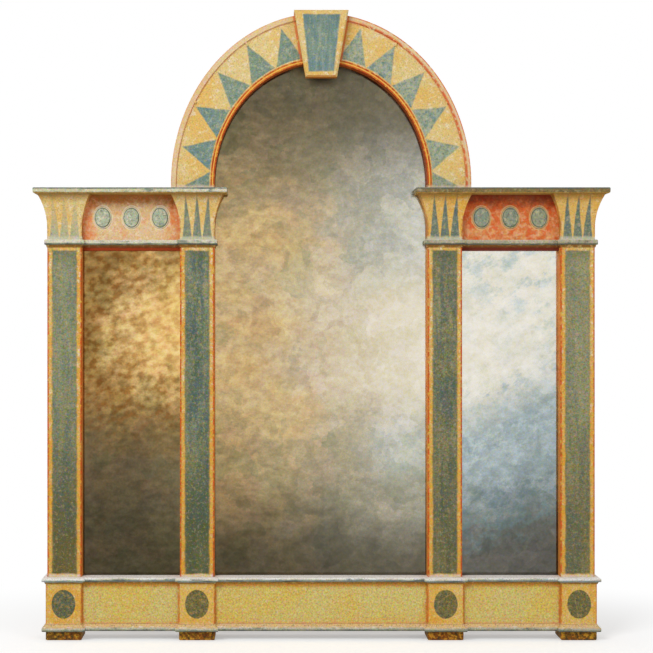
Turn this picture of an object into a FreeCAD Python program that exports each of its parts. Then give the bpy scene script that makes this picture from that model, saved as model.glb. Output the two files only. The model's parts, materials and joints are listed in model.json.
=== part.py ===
import FreeCAD, Part
import math
import os

# Painted overmantel mirror in three bays, in millimetres. The front faces -Y, the wall is on the +Y side,
# +Z is up, and the origin is the middle of the footprint, at the shelf that the feet stand on.
# Depths below are measured forward from the wall plane.

# Widths across the front
centre_bay = 554.0            # clear width between the two inner pilasters
side_bay = 255.0              # clear width between an inner and an outer pilaster
pilaster_width = 90.0
plinth_margin = 1.5           # a plinth block is this much wider than its pilaster on each side
arris = 2.5                   # bevel on the front corners of pilasters and plinth blocks

# Heights, from the shelf upwards
foot_height = 24.0
base_moulding_height = 18.0
plinth_height = 105.0
ledge_thickness = 15.0
pilaster_height = 857.0
necking_height = 20.0
capital_height = 118.0
cornice_thickness = 15.0
arch_stilt = 11.0             # short straight part of the arch above the cornice
arch_rise = 316.0             # sight height of the half-oval above the stilt
frieze_drop = 8.0             # frieze board shows this far below the necking

# Depths
carcass_thickness = 35.0
pilaster_thickness = 30.0
frieze_thickness = 12.0
beam_thickness = 36.0
plinth_relief = 12.0
cornice_overhang = 33.0       # beyond the pilaster, to the front and to the sides
foot_setback = 3.0            # behind the plinth face, and off the wall plane
foot_bevel = 2.5

# Mouldings
base_projection = 9.0
base_fillet = 8.0
base_lip = 2.0
ledge_fillet = 6.5
ledge_bevel = 2.0
cove_start = 1.5              # a cove springs this far off the face below it
cove_edge = 1.5               # and stops this far short of its fillet
necking_projection = 6.5
necking_fillet = 11.0
necking_bevel = 2.0
cornice_round = 5.0
cornice_bevel = 1.5
cove_steps = 5

# Capitals
capital_flare = 23.0
capital_plain = 31.0          # height of the upright part below the cavetto

# Arch and keystone
arch_band_side = 113.0
arch_band_crown = 128.0
rim_width = 13.0
rim_height = 4.0
inner_bead_width = 11.0
inner_bead_height = 3.0
crown_joint_angle = 31.0      # joints of the glued-up ring, from the crown downwards
haunch_joint_angle = 60.0
keystone_top = 141.0
keystone_bottom = 81.0
keystone_bevel = 4.0
keystone_relief = 27.0        # in front of the arch face
keystone_drop = 41.0          # below the sight edge of the arch
keystone_rise = 4.0           # above the top of the arch

# Oval paterae on the friezes
patera_width = 46.0
patera_tall = 57.0
patera_base = 3.0
patera_border = 3.6
patera_relief = 7.0
patera_bevel = 1.8
patera_margin = 52.5          # from the pilaster line to the centre of the first one
patera_rise = 58.0            # centre above the necking
patera_sides = 36

# Mirror plates and their backs
glass_thickness = 4.0
backboard_thickness = 6.0
sight_lap = 12.0              # the front boards lap the glass by this much
glass_clearance = 1.0
bead_size = 12.0
block_angle = 7.0

# Carcass joints
tenon_thickness = 10.0
tenon_length = 22.0
tenon_shoulder = 14.0
tenon_clearance = 0.2
rail_recess = 10.0            # top rails lie this far in front of the wall plane

# Strap hangers with D-rings, one on each top rail
strap_width = 16.0
strap_length = 60.0
strap_thickness = 1.6
strap_inset = 26.0
strap_corner = 4.5
knuckle_radius = 4.2
wire_radius = 1.9
ring_clearance = 0.07
ring_half_width = 14.0
ring_bend = 4.0
ring_leg = 10.0
screw_radius = 2.0
screw_hole_clearance = 0.25
screw_head_radius = 3.9
screw_head_height = 2.2
screw_length = 16.0
screw_first = 36.0            # below the ring's axis
screw_pitch = 15.0
wire_sides = 12
screw_sides = 12

# Levels
base_z = foot_height
plinth_z = base_z + base_moulding_height
ledge_z = plinth_z + plinth_height
shelf_z = ledge_z + ledge_thickness
necking_z = shelf_z + pilaster_height
capital_z = necking_z + necking_height
cornice_z = capital_z + capital_height
spring_z = cornice_z + cornice_thickness
arch_z = spring_z + arch_stilt
frieze_z = necking_z - frieze_drop
glass_z = shelf_z - sight_lap
rail_z = frieze_z + sight_lap

# Plan positions, for the right wing
inner_a = centre_bay / 2
inner_b = inner_a + pilaster_width
outer_a = inner_b + side_bay
outer_b = outer_a + pilaster_width
wing_x = (inner_b + outer_a) / 2

# Depths from the wall plane
face_w = carcass_thickness + pilaster_thickness
frieze_w = carcass_thickness + frieze_thickness
beam_w = carcass_thickness + beam_thickness
plinth_w = beam_w + plinth_relief
cornice_w = face_w + cornice_overhang
glass_w = carcass_thickness - glass_thickness
board_w = glass_w - backboard_thickness
bead_w = board_w - bead_size
deepest_w = max(cornice_w, plinth_w + base_projection)
back_y = deepest_w / 2


def at(x, w, z):
    return FreeCAD.Vector(x, back_y - w, z)


def block(x0, x1, w0, w1, z0, z1):
    return Part.makeBox(x1 - x0, w1 - w0, z1 - z0, at(x0, w1, z0))


def mirrored(shape):
    return shape.mirror(FreeCAD.Vector(0, 0, 0), FreeCAD.Vector(1, 0, 0))


def closed_wire(points):
    return Part.makePolygon(points + [points[0]])


def save(name, shape):
    shape.exportStep("parts/" + name + ".step")


def save_pair(name, shape):
    save(name + "_right", shape)
    save(name + "_left", mirrored(shape))


def joined(shapes):
    return shapes[0].fuse(shapes[1:]).removeSplitter()


# A moulded board is a plan outline carried through a profile. A profile level is a height and an offset
# of the outline, and a cove is a quarter round of such levels.

def cove(z0, off0, z1, off1):
    turns = [math.pi / 2 * k / cove_steps for k in range(cove_steps + 1)]
    return [(z0 + (z1 - z0) * math.sin(t), off0 + (off1 - off0) * (1 - math.cos(t))) for t in turns]


def ovolo(z0, off0, z1, off1):
    turns = [math.pi / 2 * k / cove_steps for k in range(cove_steps + 1)]
    return [(z0 + (z1 - z0) * (1 - math.cos(t)), off0 + (off1 - off0) * math.sin(t)) for t in turns]


def moulded(outline, levels):
    wires = [closed_wire([at(x, w, z) for x, w in outline(off)]) for z, off in levels]
    return Part.makeLoft(wires, True, True)


def base_outline(off):
    spans = [(inner_a, inner_b), (outer_a, outer_b)]
    spans = [(-b, -a) for a, b in reversed(spans)] + spans
    spans = [(a - plinth_margin, b + plinth_margin) for a, b in spans]
    end = spans[-1][1]
    points = []
    for a, b in spans:
        points += [(a - off, beam_w + off), (a - off, plinth_w + off)]
        points += [(b + off, plinth_w + off), (b + off, beam_w + off)]
    points[0] = (-end - off, 0)
    points[-1] = (end + off, 0)
    return points + [(end, 0), (end, carcass_thickness), (-end, carcass_thickness), (-end, 0)]


def necking_outline(off):
    points = [(inner_a - off, carcass_thickness), (inner_a - off, face_w + off)]
    points += [(inner_b + off, face_w + off), (inner_b + off, frieze_w + off)]
    points += [(outer_a - off, frieze_w + off), (outer_a - off, face_w + off)]
    points += [(outer_b + off, face_w + off), (outer_b + off, 0), (outer_b, 0)]
    points += [(outer_b, carcass_thickness), (outer_a, carcass_thickness), (outer_a, frieze_w)]
    return points + [(inner_b, frieze_w), (inner_b, carcass_thickness)]


def cornice_outline(off):
    points = [(inner_a - off, carcass_thickness), (inner_a - off, face_w + off)]
    points += [(outer_b + off, face_w + off), (outer_b + off, 0)]
    return points + [(outer_b, 0), (outer_b, carcass_thickness)]


def base_moulding():
    crown = base_z + base_lip + base_fillet
    levels = [(base_z, base_projection - base_lip), (base_z + base_lip, base_projection)]
    fillet = moulded(base_outline, levels + [(crown, base_projection)])
    rising = cove(plinth_z, cove_start, crown, base_projection - cove_edge)
    return joined([fillet, moulded(base_outline, rising[::-1])])


def ledge():
    lower = shelf_z - ledge_bevel - ledge_fillet
    hollow = cove(ledge_z, cove_start, lower, base_projection - cove_edge)
    levels = [(lower, base_projection), (shelf_z - ledge_bevel, base_projection)]
    levels.append((shelf_z, base_projection - ledge_bevel))
    return joined([moulded(base_outline, hollow), moulded(base_outline, levels)])


def necking():
    lower = capital_z - necking_bevel - necking_fillet
    hollow = cove(necking_z, cove_start, lower, necking_projection - cove_edge)
    levels = [(lower, necking_projection), (capital_z - necking_bevel, necking_projection)]
    levels.append((capital_z, necking_projection - necking_bevel))
    return joined([moulded(necking_outline, hollow), moulded(necking_outline, levels)])


def cornice():
    levels = ovolo(cornice_z, cornice_overhang - cornice_round, cornice_z + cornice_round, cornice_overhang)
    levels.append((spring_z - cornice_bevel, cornice_overhang))
    levels.append((spring_z, cornice_overhang - cornice_bevel))
    return moulded(cornice_outline, levels)


# A capital is upright at its foot and flares to the front and to both sides in a cavetto with mitred
# corners: the common part of a front profile and a side profile.

def cavetto(foot, tip, mid_share=0.5):
    rise = (tip - foot).dot(FreeCAD.Vector(0, 0, 1))
    run = FreeCAD.Vector(tip.x - foot.x, tip.y - foot.y, 0)
    radius = (rise ** 2 + run.Length ** 2) / (2 * run.Length)
    height = rise * mid_share
    reach = radius - math.sqrt(radius ** 2 - height ** 2)
    mid = foot + FreeCAD.Vector(0, 0, height) + run.normalize() * reach
    return Part.Arc(foot, mid, tip).toShape()


def line(a, b):
    return Part.LineSegment(a, b).toShape()


def capital(x0, x1, back):
    flare_z = capital_z + capital_plain
    tip_w = face_w + capital_flare
    feet = [at(x0, back, capital_z), at(x1, back, capital_z)]
    waists = [at(x0, back, flare_z), at(x1, back, flare_z)]
    tips = [at(x0 - capital_flare, back, cornice_z), at(x1 + capital_flare, back, cornice_z)]
    sides = [line(feet[0], waists[0]), cavetto(waists[0], tips[0]), line(tips[0], tips[1])]
    sides += [cavetto(waists[1], tips[1]), line(waists[1], feet[1]), line(feet[1], feet[0])]
    front_view = Part.Face(Part.Wire(Part.__sortEdges__(sides)))
    front_solid = front_view.extrude(FreeCAD.Vector(0, back - tip_w, 0))
    left = x0 - capital_flare
    heel = at(left, back, capital_z)
    toe = at(left, face_w, capital_z)
    waist = at(left, face_w, flare_z)
    tip = at(left, tip_w, cornice_z)
    heel_top = at(left, back, cornice_z)
    edges = [line(heel, toe), line(toe, waist), cavetto(waist, tip)]
    edges += [line(tip, heel_top), line(heel_top, heel)]
    side_view = Part.Face(Part.Wire(Part.__sortEdges__(edges)))
    side_solid = side_view.extrude(FreeCAD.Vector(x1 - x0 + 2 * capital_flare, 0, 0))
    frieze = block(inner_b, outer_a, 0, frieze_w, capital_z, cornice_z)
    return front_solid.common(side_solid).cut(frieze)


# The arch is a half-oval ring on a short stilt, with a rabbet for the glass behind its inner edge, a raised
# rim and an inner bead. Angles run from the crown down to the springing.

def oval_point(rx, rz, angle, w):
    t = math.radians(angle)
    return at(rx * math.sin(t), w, arch_z + rz * math.cos(t))


def oval_arc(rx, rz, angle0, angle1, w):
    centre = at(0, w, arch_z)
    top = oval_point(rx, rz, 0, w)
    side = oval_point(rx, rz, 90, w)
    if rz >= rx:
        oval = Part.Ellipse(top, side, centre)
        return Part.ArcOfEllipse(oval, math.radians(angle0), math.radians(angle1)).toShape()
    oval = Part.Ellipse(side, top, centre)
    return Part.ArcOfEllipse(oval, math.radians(90 - angle1), math.radians(90 - angle0)).toShape()


def ring_sector(inset, outset, angle0, angle1, w0, w1):
    inner = (inner_a + inset, arch_rise + inset)
    outer = (inner_a + arch_band_side - outset, arch_rise + arch_band_crown - outset)
    edges = [oval_arc(*inner, angle0, angle1, w0), oval_arc(*outer, angle0, angle1, w0)]
    edges.append(line(oval_point(*inner, angle0, w0), oval_point(*outer, angle0, w0)))
    low_in = oval_point(*inner, angle1, w0)
    low_out = oval_point(*outer, angle1, w0)
    if angle1 == 90:
        down = FreeCAD.Vector(0, 0, spring_z - arch_z)
        edges += [line(low_in, low_in + down), line(low_out, low_out + down)]
        low_in = low_in + down
        low_out = low_out + down
    edges.append(line(low_in, low_out))
    return Part.Face(Part.Wire(Part.__sortEdges__(edges))).extrude(FreeCAD.Vector(0, w0 - w1, 0))


def arch_segment(angle0, angle1):
    parts = [ring_sector(sight_lap, 0, angle0, angle1, 0, carcass_thickness)]
    parts.append(ring_sector(0, 0, angle0, angle1, carcass_thickness, face_w))
    rim_inset = arch_band_side - rim_width
    rim = ring_sector(rim_inset, 0, angle0, angle1, face_w, face_w + rim_height)
    clear = ring_sector(0, rim_width, angle0, angle1, face_w, face_w + rim_height)
    bead_outset = arch_band_side - inner_bead_width
    bead = ring_sector(0, bead_outset, angle0, angle1, face_w, face_w + inner_bead_height)
    clear_bead = ring_sector(inner_bead_width, 0, angle0, angle1, face_w, face_w + inner_bead_height)
    return joined(parts + [rim.cut(clear), bead.cut(clear_bead)])


def keystone_outline(inset, w):
    z0 = arch_z + arch_rise - keystone_drop
    z1 = arch_z + arch_rise + arch_band_crown + keystone_rise
    low = keystone_bottom / 2 - inset
    high = keystone_top / 2 - inset
    corners = [(-low, z0 + inset), (low, z0 + inset), (high, z1 - inset), (-high, z1 - inset)]
    return closed_wire([at(x, w, z) for x, z in corners])


# A plate with a half-oval head, larger than the sight opening of the centre bay by a given amount

def arched_plate(grow, w0, w1):
    rx = inner_a + grow
    rz = arch_rise + grow
    corners = [at(rx, w0, arch_z), at(rx, w0, glass_z), at(-rx, w0, glass_z), at(-rx, w0, arch_z)]
    edges = [oval_arc(rx, rz, -90, 0, w0), oval_arc(rx, rz, 0, 90, w0)]
    edges += [line(corners[0], corners[1]), line(corners[1], corners[2]), line(corners[2], corners[3])]
    return Part.Face(Part.Wire(Part.__sortEdges__(edges))).extrude(FreeCAD.Vector(0, w0 - w1, 0))


# The keystone fills the gap at the crown of the ring; only its front part hangs below the sight edge.

def keystone():
    front = face_w + keystone_relief
    rear = keystone_outline(0, carcass_thickness)
    shoulder = keystone_outline(0, front - keystone_bevel)
    bevelled = keystone_outline(keystone_bevel, front)
    body = Part.makeLoft([rear, shoulder], True, True)
    head = Part.makeLoft([shoulder, bevelled], True, True)
    return joined([body, head]).cut(arched_plate(0, carcass_thickness, face_w)).removeSplitter()


# Oval paterae

def oval_wire(rx, rz, x, w, z, sides):
    turns = [2 * math.pi * k / sides for k in range(sides)]
    return closed_wire([at(x + rx * math.sin(t), w, z + rz * math.cos(t)) for t in turns])


def patera(x):
    z = capital_z + patera_rise
    rx = patera_width / 2
    rz = patera_tall / 2
    ix = rx - patera_border
    iz = rz - patera_border
    rear = oval_wire(rx, rz, x, frieze_w, z, patera_sides)
    rim = oval_wire(rx, rz, x, frieze_w + patera_base - patera_bevel, z, patera_sides)
    rim_top = oval_wire(rx - patera_bevel, rz - patera_bevel, x, frieze_w + patera_base, z, patera_sides)
    boss = oval_wire(ix, iz, x, frieze_w, z, patera_sides)
    boss_edge = oval_wire(ix, iz, x, frieze_w + patera_relief - patera_bevel, z, patera_sides)
    boss_top = oval_wire(ix - patera_bevel, iz - patera_bevel, x, frieze_w + patera_relief, z, patera_sides)
    lower = Part.makeLoft([rear, rim, rim_top], True, True)
    return joined([lower, Part.makeLoft([boss, boss_edge, boss_top], True, True)])


# Feet, base and uprights

def foot(x0, x1):
    def outline(off):
        front = plinth_w - foot_setback - off
        rear = foot_setback + off
        return [(x0 + off, rear), (x0 + off, front), (x1 - off, front), (x1 - off, rear)]
    return moulded(outline, [(0, foot_bevel), (foot_bevel, 0), (foot_height, 0)])


def tenon_w(extra):
    middle = (rail_recess + carcass_thickness) / 2
    return middle - tenon_thickness / 2 - extra, middle + tenon_thickness / 2 + extra


def foot_tenon(x0, x1, extra):
    w0, w1 = tenon_w(extra)
    reach = glass_z - tenon_length - extra
    return block(x0 + tenon_shoulder - extra, x1 - tenon_shoulder + extra, w0, w1, reach, glass_z)


def rail_tenons(extra):
    w0, w1 = tenon_w(extra)
    x0 = inner_b - sight_lap - tenon_length - extra
    x1 = outer_a + sight_lap + tenon_length + extra
    return block(x0, x1, w0, w1, rail_z + tenon_shoulder - extra, spring_z - tenon_shoulder + extra)


def stile(x0, x1):
    upright = block(x0, x1, 0, carcass_thickness, glass_z, spring_z).cut(rail_tenons(tenon_clearance))
    return upright.fuse(foot_tenon(x0, x1, 0)).removeSplitter()


stile_spans = [(inner_a + sight_lap, inner_b - sight_lap), (outer_a + sight_lap, outer_b)]
base_end = outer_b + plinth_margin


def base_back_rail():
    rail = block(-base_end, base_end, 0, carcass_thickness, base_z, glass_z)
    for x0, x1 in stile_spans:
        mortise = foot_tenon(x0, x1, tenon_clearance)
        rail = rail.cut(mortise).cut(mirrored(mortise))
    return rail


def top_rail():
    x0 = inner_b - sight_lap
    x1 = outer_a + sight_lap
    rail = block(x0, x1, rail_recess, carcass_thickness, rail_z, spring_z)
    return rail.fuse(rail_tenons(0)).removeSplitter()


# Mirror plates, backboards and what keeps them in

def side_plate(w0, w1):
    x0 = inner_b - sight_lap + glass_clearance
    x1 = outer_a + sight_lap - glass_clearance
    return block(x0, x1, w0, w1, glass_z, rail_z - glass_clearance)


def centre_plate(w0, w1):
    return arched_plate(sight_lap - glass_clearance, w0, w1)


def side_beads():
    x0 = inner_b - sight_lap
    x1 = outer_a + sight_lap
    z1 = rail_z
    beads = [block(x0, x0 + bead_size, bead_w, board_w, glass_z, z1)]
    beads.append(block(x1 - bead_size, x1, bead_w, board_w, glass_z, z1))
    beads.append(block(x0 + bead_size, x1 - bead_size, bead_w, board_w, glass_z, glass_z + bead_size))
    beads.append(block(x0 + bead_size, x1 - bead_size, bead_w, board_w, z1 - bead_size, z1))
    return Part.makeCompound(beads)


def centre_beads():
    x1 = inner_a + sight_lap
    upright = block(x1 - bead_size, x1, bead_w, board_w, glass_z, spring_z)
    beads = [upright, mirrored(upright)]
    beads.append(block(bead_size - x1, x1 - bead_size, bead_w, board_w, glass_z, glass_z + bead_size))
    haunch_middle = (crown_joint_angle + haunch_joint_angle) / 2
    for angle in (crown_joint_angle / 2, haunch_middle, haunch_joint_angle + 15):
        strip = ring_sector(sight_lap - bead_size, 0, angle, angle + block_angle, bead_w, board_w)
        wall = ring_sector(sight_lap, 0, angle - 1, angle + block_angle + 1, bead_w, board_w)
        chock = strip.cut(wall)
        beads += [chock, mirrored(chock)]
    return Part.makeCompound(beads)


# Strap hangers: a plate with a rolled knuckle, a D-ring that swings in the knuckle, and two screws

ring_w = rail_recess - knuckle_radius
ring_z = rail_z + strap_inset + strap_length


def round_wire(radius, x, w, z, sides):
    return oval_wire(radius, radius, x, w, z, sides)


def strap():
    half = strap_width / 2
    foot_z = ring_z - strap_length
    corners = [(-half, ring_z), (-half, foot_z + strap_corner), (strap_corner - half, foot_z)]
    corners += [(half - strap_corner, foot_z), (half, foot_z + strap_corner), (half, ring_z)]
    outline = closed_wire([at(wing_x + x, rail_recess, z) for x, z in corners])
    plate = Part.Face(outline).extrude(FreeCAD.Vector(0, strap_thickness, 0))
    start = at(wing_x - half, ring_w, ring_z)
    along = FreeCAD.Vector(1, 0, 0)
    knuckle = Part.makeCylinder(knuckle_radius, strap_width, start, along)
    bore = Part.makeCylinder(wire_radius + ring_clearance, strap_width, start, along)
    plate = plate.fuse(knuckle).cut(bore)
    for drop in (screw_first, screw_first + screw_pitch):
        hole_radius = screw_radius + screw_hole_clearance
        hole = round_wire(hole_radius, wing_x, rail_recess, ring_z - drop, screw_sides)
        plate = plate.cut(Part.Face(hole).extrude(FreeCAD.Vector(0, strap_thickness, 0)))
    return plate.removeSplitter()


def wire_section(x, z, lean):
    turns = [2 * math.pi * k / wire_sides for k in range(wire_sides)]
    points = []
    for t in turns:
        reach = wire_radius * math.cos(t)
        rise = z + reach * math.cos(lean)
        points.append(at(x + reach * math.sin(lean), ring_w + wire_radius * math.sin(t), rise))
    return closed_wire(points)


def ring():
    bar = wing_x + ring_half_width - ring_bend
    bend_z = ring_z - ring_bend
    bow_z = bend_z - ring_leg
    sections = [wire_section(wing_x, ring_z, 0)]
    for lean in [math.radians(30 * k) for k in range(4)]:
        x = bar + ring_bend * math.sin(lean)
        sections.append(wire_section(x, bend_z + ring_bend * math.cos(lean), lean))
    for lean in [math.radians(15 * k) for k in range(6, 13)]:
        x = wing_x + ring_half_width * math.sin(lean)
        sections.append(wire_section(x, bow_z + ring_half_width * math.cos(lean), lean))
    half = Part.makeLoft(sections, True, True)
    return joined([half, half.mirror(at(wing_x, 0, 0), FreeCAD.Vector(1, 0, 0))])


def screw(drop):
    seat = rail_recess - strap_thickness
    z = ring_z - drop
    neck = 0.62 * screw_head_height
    head = [(0.55, screw_head_height), (0.9, neck), (1.0, 0)]
    wires = [round_wire(screw_head_radius * k, wing_x, seat - h, z, screw_sides) for k, h in head]
    shank = [round_wire(screw_radius, wing_x, seat, z, screw_sides)]
    shank.append(round_wire(screw_radius, wing_x, seat + screw_length - 2 * screw_radius, z, screw_sides))
    shank.append(round_wire(screw_radius / 4, wing_x, seat + screw_length, z, screw_sides))
    return joined([Part.makeLoft(wires, True, True), Part.makeLoft(shank, True, True)])


def bevelled_post(x0, x1, w0, w1, z0, z1):
    corners = [(x0, w0), (x0, w1 - arris), (x0 + arris, w1), (x1 - arris, w1), (x1, w1 - arris), (x1, w0)]
    plan = closed_wire([at(x, w, z0) for x, w in corners])
    return Part.Face(plan).extrude(FreeCAD.Vector(0, 0, z1 - z0))


os.makedirs("parts", exist_ok=True)

plinth_spans = [(inner_a - plinth_margin, inner_b + plinth_margin), (outer_a - plinth_margin, base_end)]
for side, (a, b) in zip(("inner", "outer"), plinth_spans):
    save_pair("foot_" + side, foot(a, b))
    save_pair("plinth_block_" + side, bevelled_post(a, b, beam_w, plinth_w, plinth_z, ledge_z))
save("base_moulding", base_moulding())
save("base_beam", block(-base_end, base_end, carcass_thickness, beam_w, plinth_z, ledge_z))
save("base_ledge", ledge())

pilaster_spans = [(inner_a, inner_b), (outer_a, outer_b)]
for side, (a, b) in zip(("inner", "outer"), pilaster_spans):
    save_pair("pilaster_" + side, bevelled_post(a, b, carcass_thickness, face_w, shelf_z, necking_z))
save_pair("necking", necking())
save_pair("capital_inner", capital(inner_a, inner_b, carcass_thickness))
stile_end = block(outer_a, outer_b, 0, carcass_thickness, capital_z, cornice_z)
save_pair("capital_outer", capital(outer_a, outer_b, 0).cut(stile_end))
save_pair("frieze_board", block(inner_b, outer_a, carcass_thickness, frieze_w, frieze_z, cornice_z))
patera_step = side_bay / 2 - patera_margin
for place, step in (("inner", -1), ("middle", 0), ("outer", 1)):
    save_pair("patera_" + place, patera(wing_x + step * patera_step))
save_pair("cornice", cornice())

crown_stone = keystone()
save_pair("arch_crown", arch_segment(0, crown_joint_angle).cut(crown_stone))
save_pair("arch_haunch", arch_segment(crown_joint_angle, haunch_joint_angle))
save_pair("arch_springer", arch_segment(haunch_joint_angle, 90))
save("keystone", crown_stone)

for side, (a, b) in zip(("inner", "outer"), stile_spans):
    save_pair("stile_" + side, stile(a, b))
save("base_back_rail", base_back_rail())
save_pair("top_rail", top_rail())

save_pair("mirror_plate", side_plate(glass_w, carcass_thickness))
save("mirror_plate_centre", centre_plate(glass_w, carcass_thickness))
save_pair("backboard", side_plate(board_w, glass_w))
save("backboard_centre", centre_plate(board_w, glass_w))
save_pair("retaining_beads", side_beads())
save("retaining_beads_centre", centre_beads())

save_pair("hanger_strap", strap())
save_pair("hanger_ring", ring())
screws = [screw(screw_first), screw(screw_first + screw_pitch)]
save("hanger_screws", Part.makeCompound(screws + [mirrored(s) for s in screws]))
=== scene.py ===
# %% [markdown]
# # A painted overmantel mirror
# The real object is a wooden frame in three bays that stands on a mantel shelf: four pilasters on plinths,
# two wings with friezes and cornices, and an arch with a keystone over the middle bay.
# The joined model already has every board at its true size, so this lesson starts from it and adds
# what paint, wear, old silvering and a little hardware do for the eye.

# %% Load the joined model
import json
import math
import bpy
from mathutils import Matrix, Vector

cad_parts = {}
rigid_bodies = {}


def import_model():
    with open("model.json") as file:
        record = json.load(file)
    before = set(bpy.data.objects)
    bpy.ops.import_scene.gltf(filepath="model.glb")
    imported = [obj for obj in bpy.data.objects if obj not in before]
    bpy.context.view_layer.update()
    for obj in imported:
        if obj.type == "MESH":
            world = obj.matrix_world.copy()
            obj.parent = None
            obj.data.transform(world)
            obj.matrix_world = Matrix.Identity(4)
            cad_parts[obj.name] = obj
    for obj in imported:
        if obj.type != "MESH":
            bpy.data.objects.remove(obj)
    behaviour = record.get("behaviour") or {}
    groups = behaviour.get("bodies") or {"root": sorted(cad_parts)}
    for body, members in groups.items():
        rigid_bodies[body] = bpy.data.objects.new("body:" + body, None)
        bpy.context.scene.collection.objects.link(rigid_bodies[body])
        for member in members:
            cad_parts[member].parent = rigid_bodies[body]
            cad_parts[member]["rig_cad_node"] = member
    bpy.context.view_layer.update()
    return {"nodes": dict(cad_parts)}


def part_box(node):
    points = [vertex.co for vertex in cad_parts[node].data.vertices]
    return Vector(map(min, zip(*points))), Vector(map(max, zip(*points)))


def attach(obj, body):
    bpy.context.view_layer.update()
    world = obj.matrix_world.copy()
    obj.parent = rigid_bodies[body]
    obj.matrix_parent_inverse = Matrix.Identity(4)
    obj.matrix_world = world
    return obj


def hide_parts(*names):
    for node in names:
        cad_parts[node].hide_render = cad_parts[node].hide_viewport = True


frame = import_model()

nodes = frame["nodes"]
scene = bpy.context.scene

# %% [markdown]
# ## Where things are
# A painter marks out lines on the wood before painting. Here the lines are read from the boards' own boxes,
# so that a painted panel sits in the middle of its pilaster whatever the pilaster's width.
# All values are in metres, and the two wings mirror each other about x = 0.

# %% Marking-out lines
inner_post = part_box("pilaster_inner_right")
outer_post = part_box("pilaster_outer_right")
inner_line = (inner_post[0].x + inner_post[1].x) / 2
outer_line = (outer_post[0].x + outer_post[1].x) / 2
post_half = (inner_post[1].x - inner_post[0].x) / 2
wing_line = (inner_line + outer_line) / 2
post_foot = inner_post[0].z
post_head = inner_post[1].z
capital_foot, capital_head = (corner.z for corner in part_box("capital_inner_right"))
plinth_foot, plinth_head = (corner.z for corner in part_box("plinth_block_inner_right"))
arch_low, arch_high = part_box("arch_springer_right")
arch_stilt = 0.011
oval_wide = arch_high.x
oval_centre = arch_low.z + arch_stilt
oval_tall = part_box("arch_crown_right")[1].z - oval_centre
print("pilaster lines at", round(inner_line, 4), round(outer_line, 4))
print("half axes of the arch", round(oval_wide, 3), round(oval_tall, 3))

# %% [markdown]
# ## The studio
# The frame stands in front of white, in soft light from the upper left, with a level camera a little left
# of the middle, as one stands to keep out of the reflection. A modest sideways lens shift
# keeps the front square to the picture. The white is the world's colour as seen by the camera and by
# reflections, while the light that falls on the object is set by the lamps.

# %% Floor, white surround and camera
bpy.ops.object.select_all(action="DESELECT")
bpy.ops.mesh.primitive_plane_add(size=9.0, location=(0.0, 0.0, 0.0))
floor = bpy.context.object
floor.name = "studio_floor"

lens = bpy.data.cameras.new("front_camera")
lens.sensor_width = 36.0
lens.lens = 80.6
lens.shift_x = 0.0908
camera = bpy.data.objects.new("front_camera", lens)
camera.location = (-0.14, -3.816, 0.813)
camera.rotation_euler = (math.radians(90), 0, 0)
scene.collection.objects.link(camera)
scene.camera = camera
scene.view_settings.view_transform = "Standard"
print("camera", [round(v, 3) for v in camera.location], "lens", lens.lens)

# %% Soft lamps


def soft_lamp(name, place, aim, size, power):
    """A square soft box that looks at a point."""
    bpy.ops.object.light_add(type="AREA", location=place)
    lamp = bpy.context.object
    lamp.name = name
    lamp.data.size = size
    lamp.data.energy = power
    lamp.rotation_euler = (Vector(aim) - Vector(place)).to_track_quat("-Z", "Y").to_euler()
    return lamp


key = soft_lamp("key_softbox", (-2.1, -3.3, 3.5), (0.0, 0.0, 0.9), 2.0, 112.0)
fill = soft_lamp("fill_softbox", (3.0, -3.2, 1.9), (0.0, 0.0, 0.8), 2.0, 36.0)
print("lamps", key.data.energy, fill.data.energy)

# %% [markdown]
# ## Shader sums in plain Python
# A painted finish is a stack of masks and colours. Wiring each sum by hand makes a script hard to read,
# so one small class wraps a node's output and lets Python's own signs make the Math nodes:
# `&` keeps the smaller of two masks, `|` the larger, and `fade` turns a distance into a soft edge.
# Colours go through Mix and places through Vector Math. All other nodes come from one method.

# %% The socket class


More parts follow.
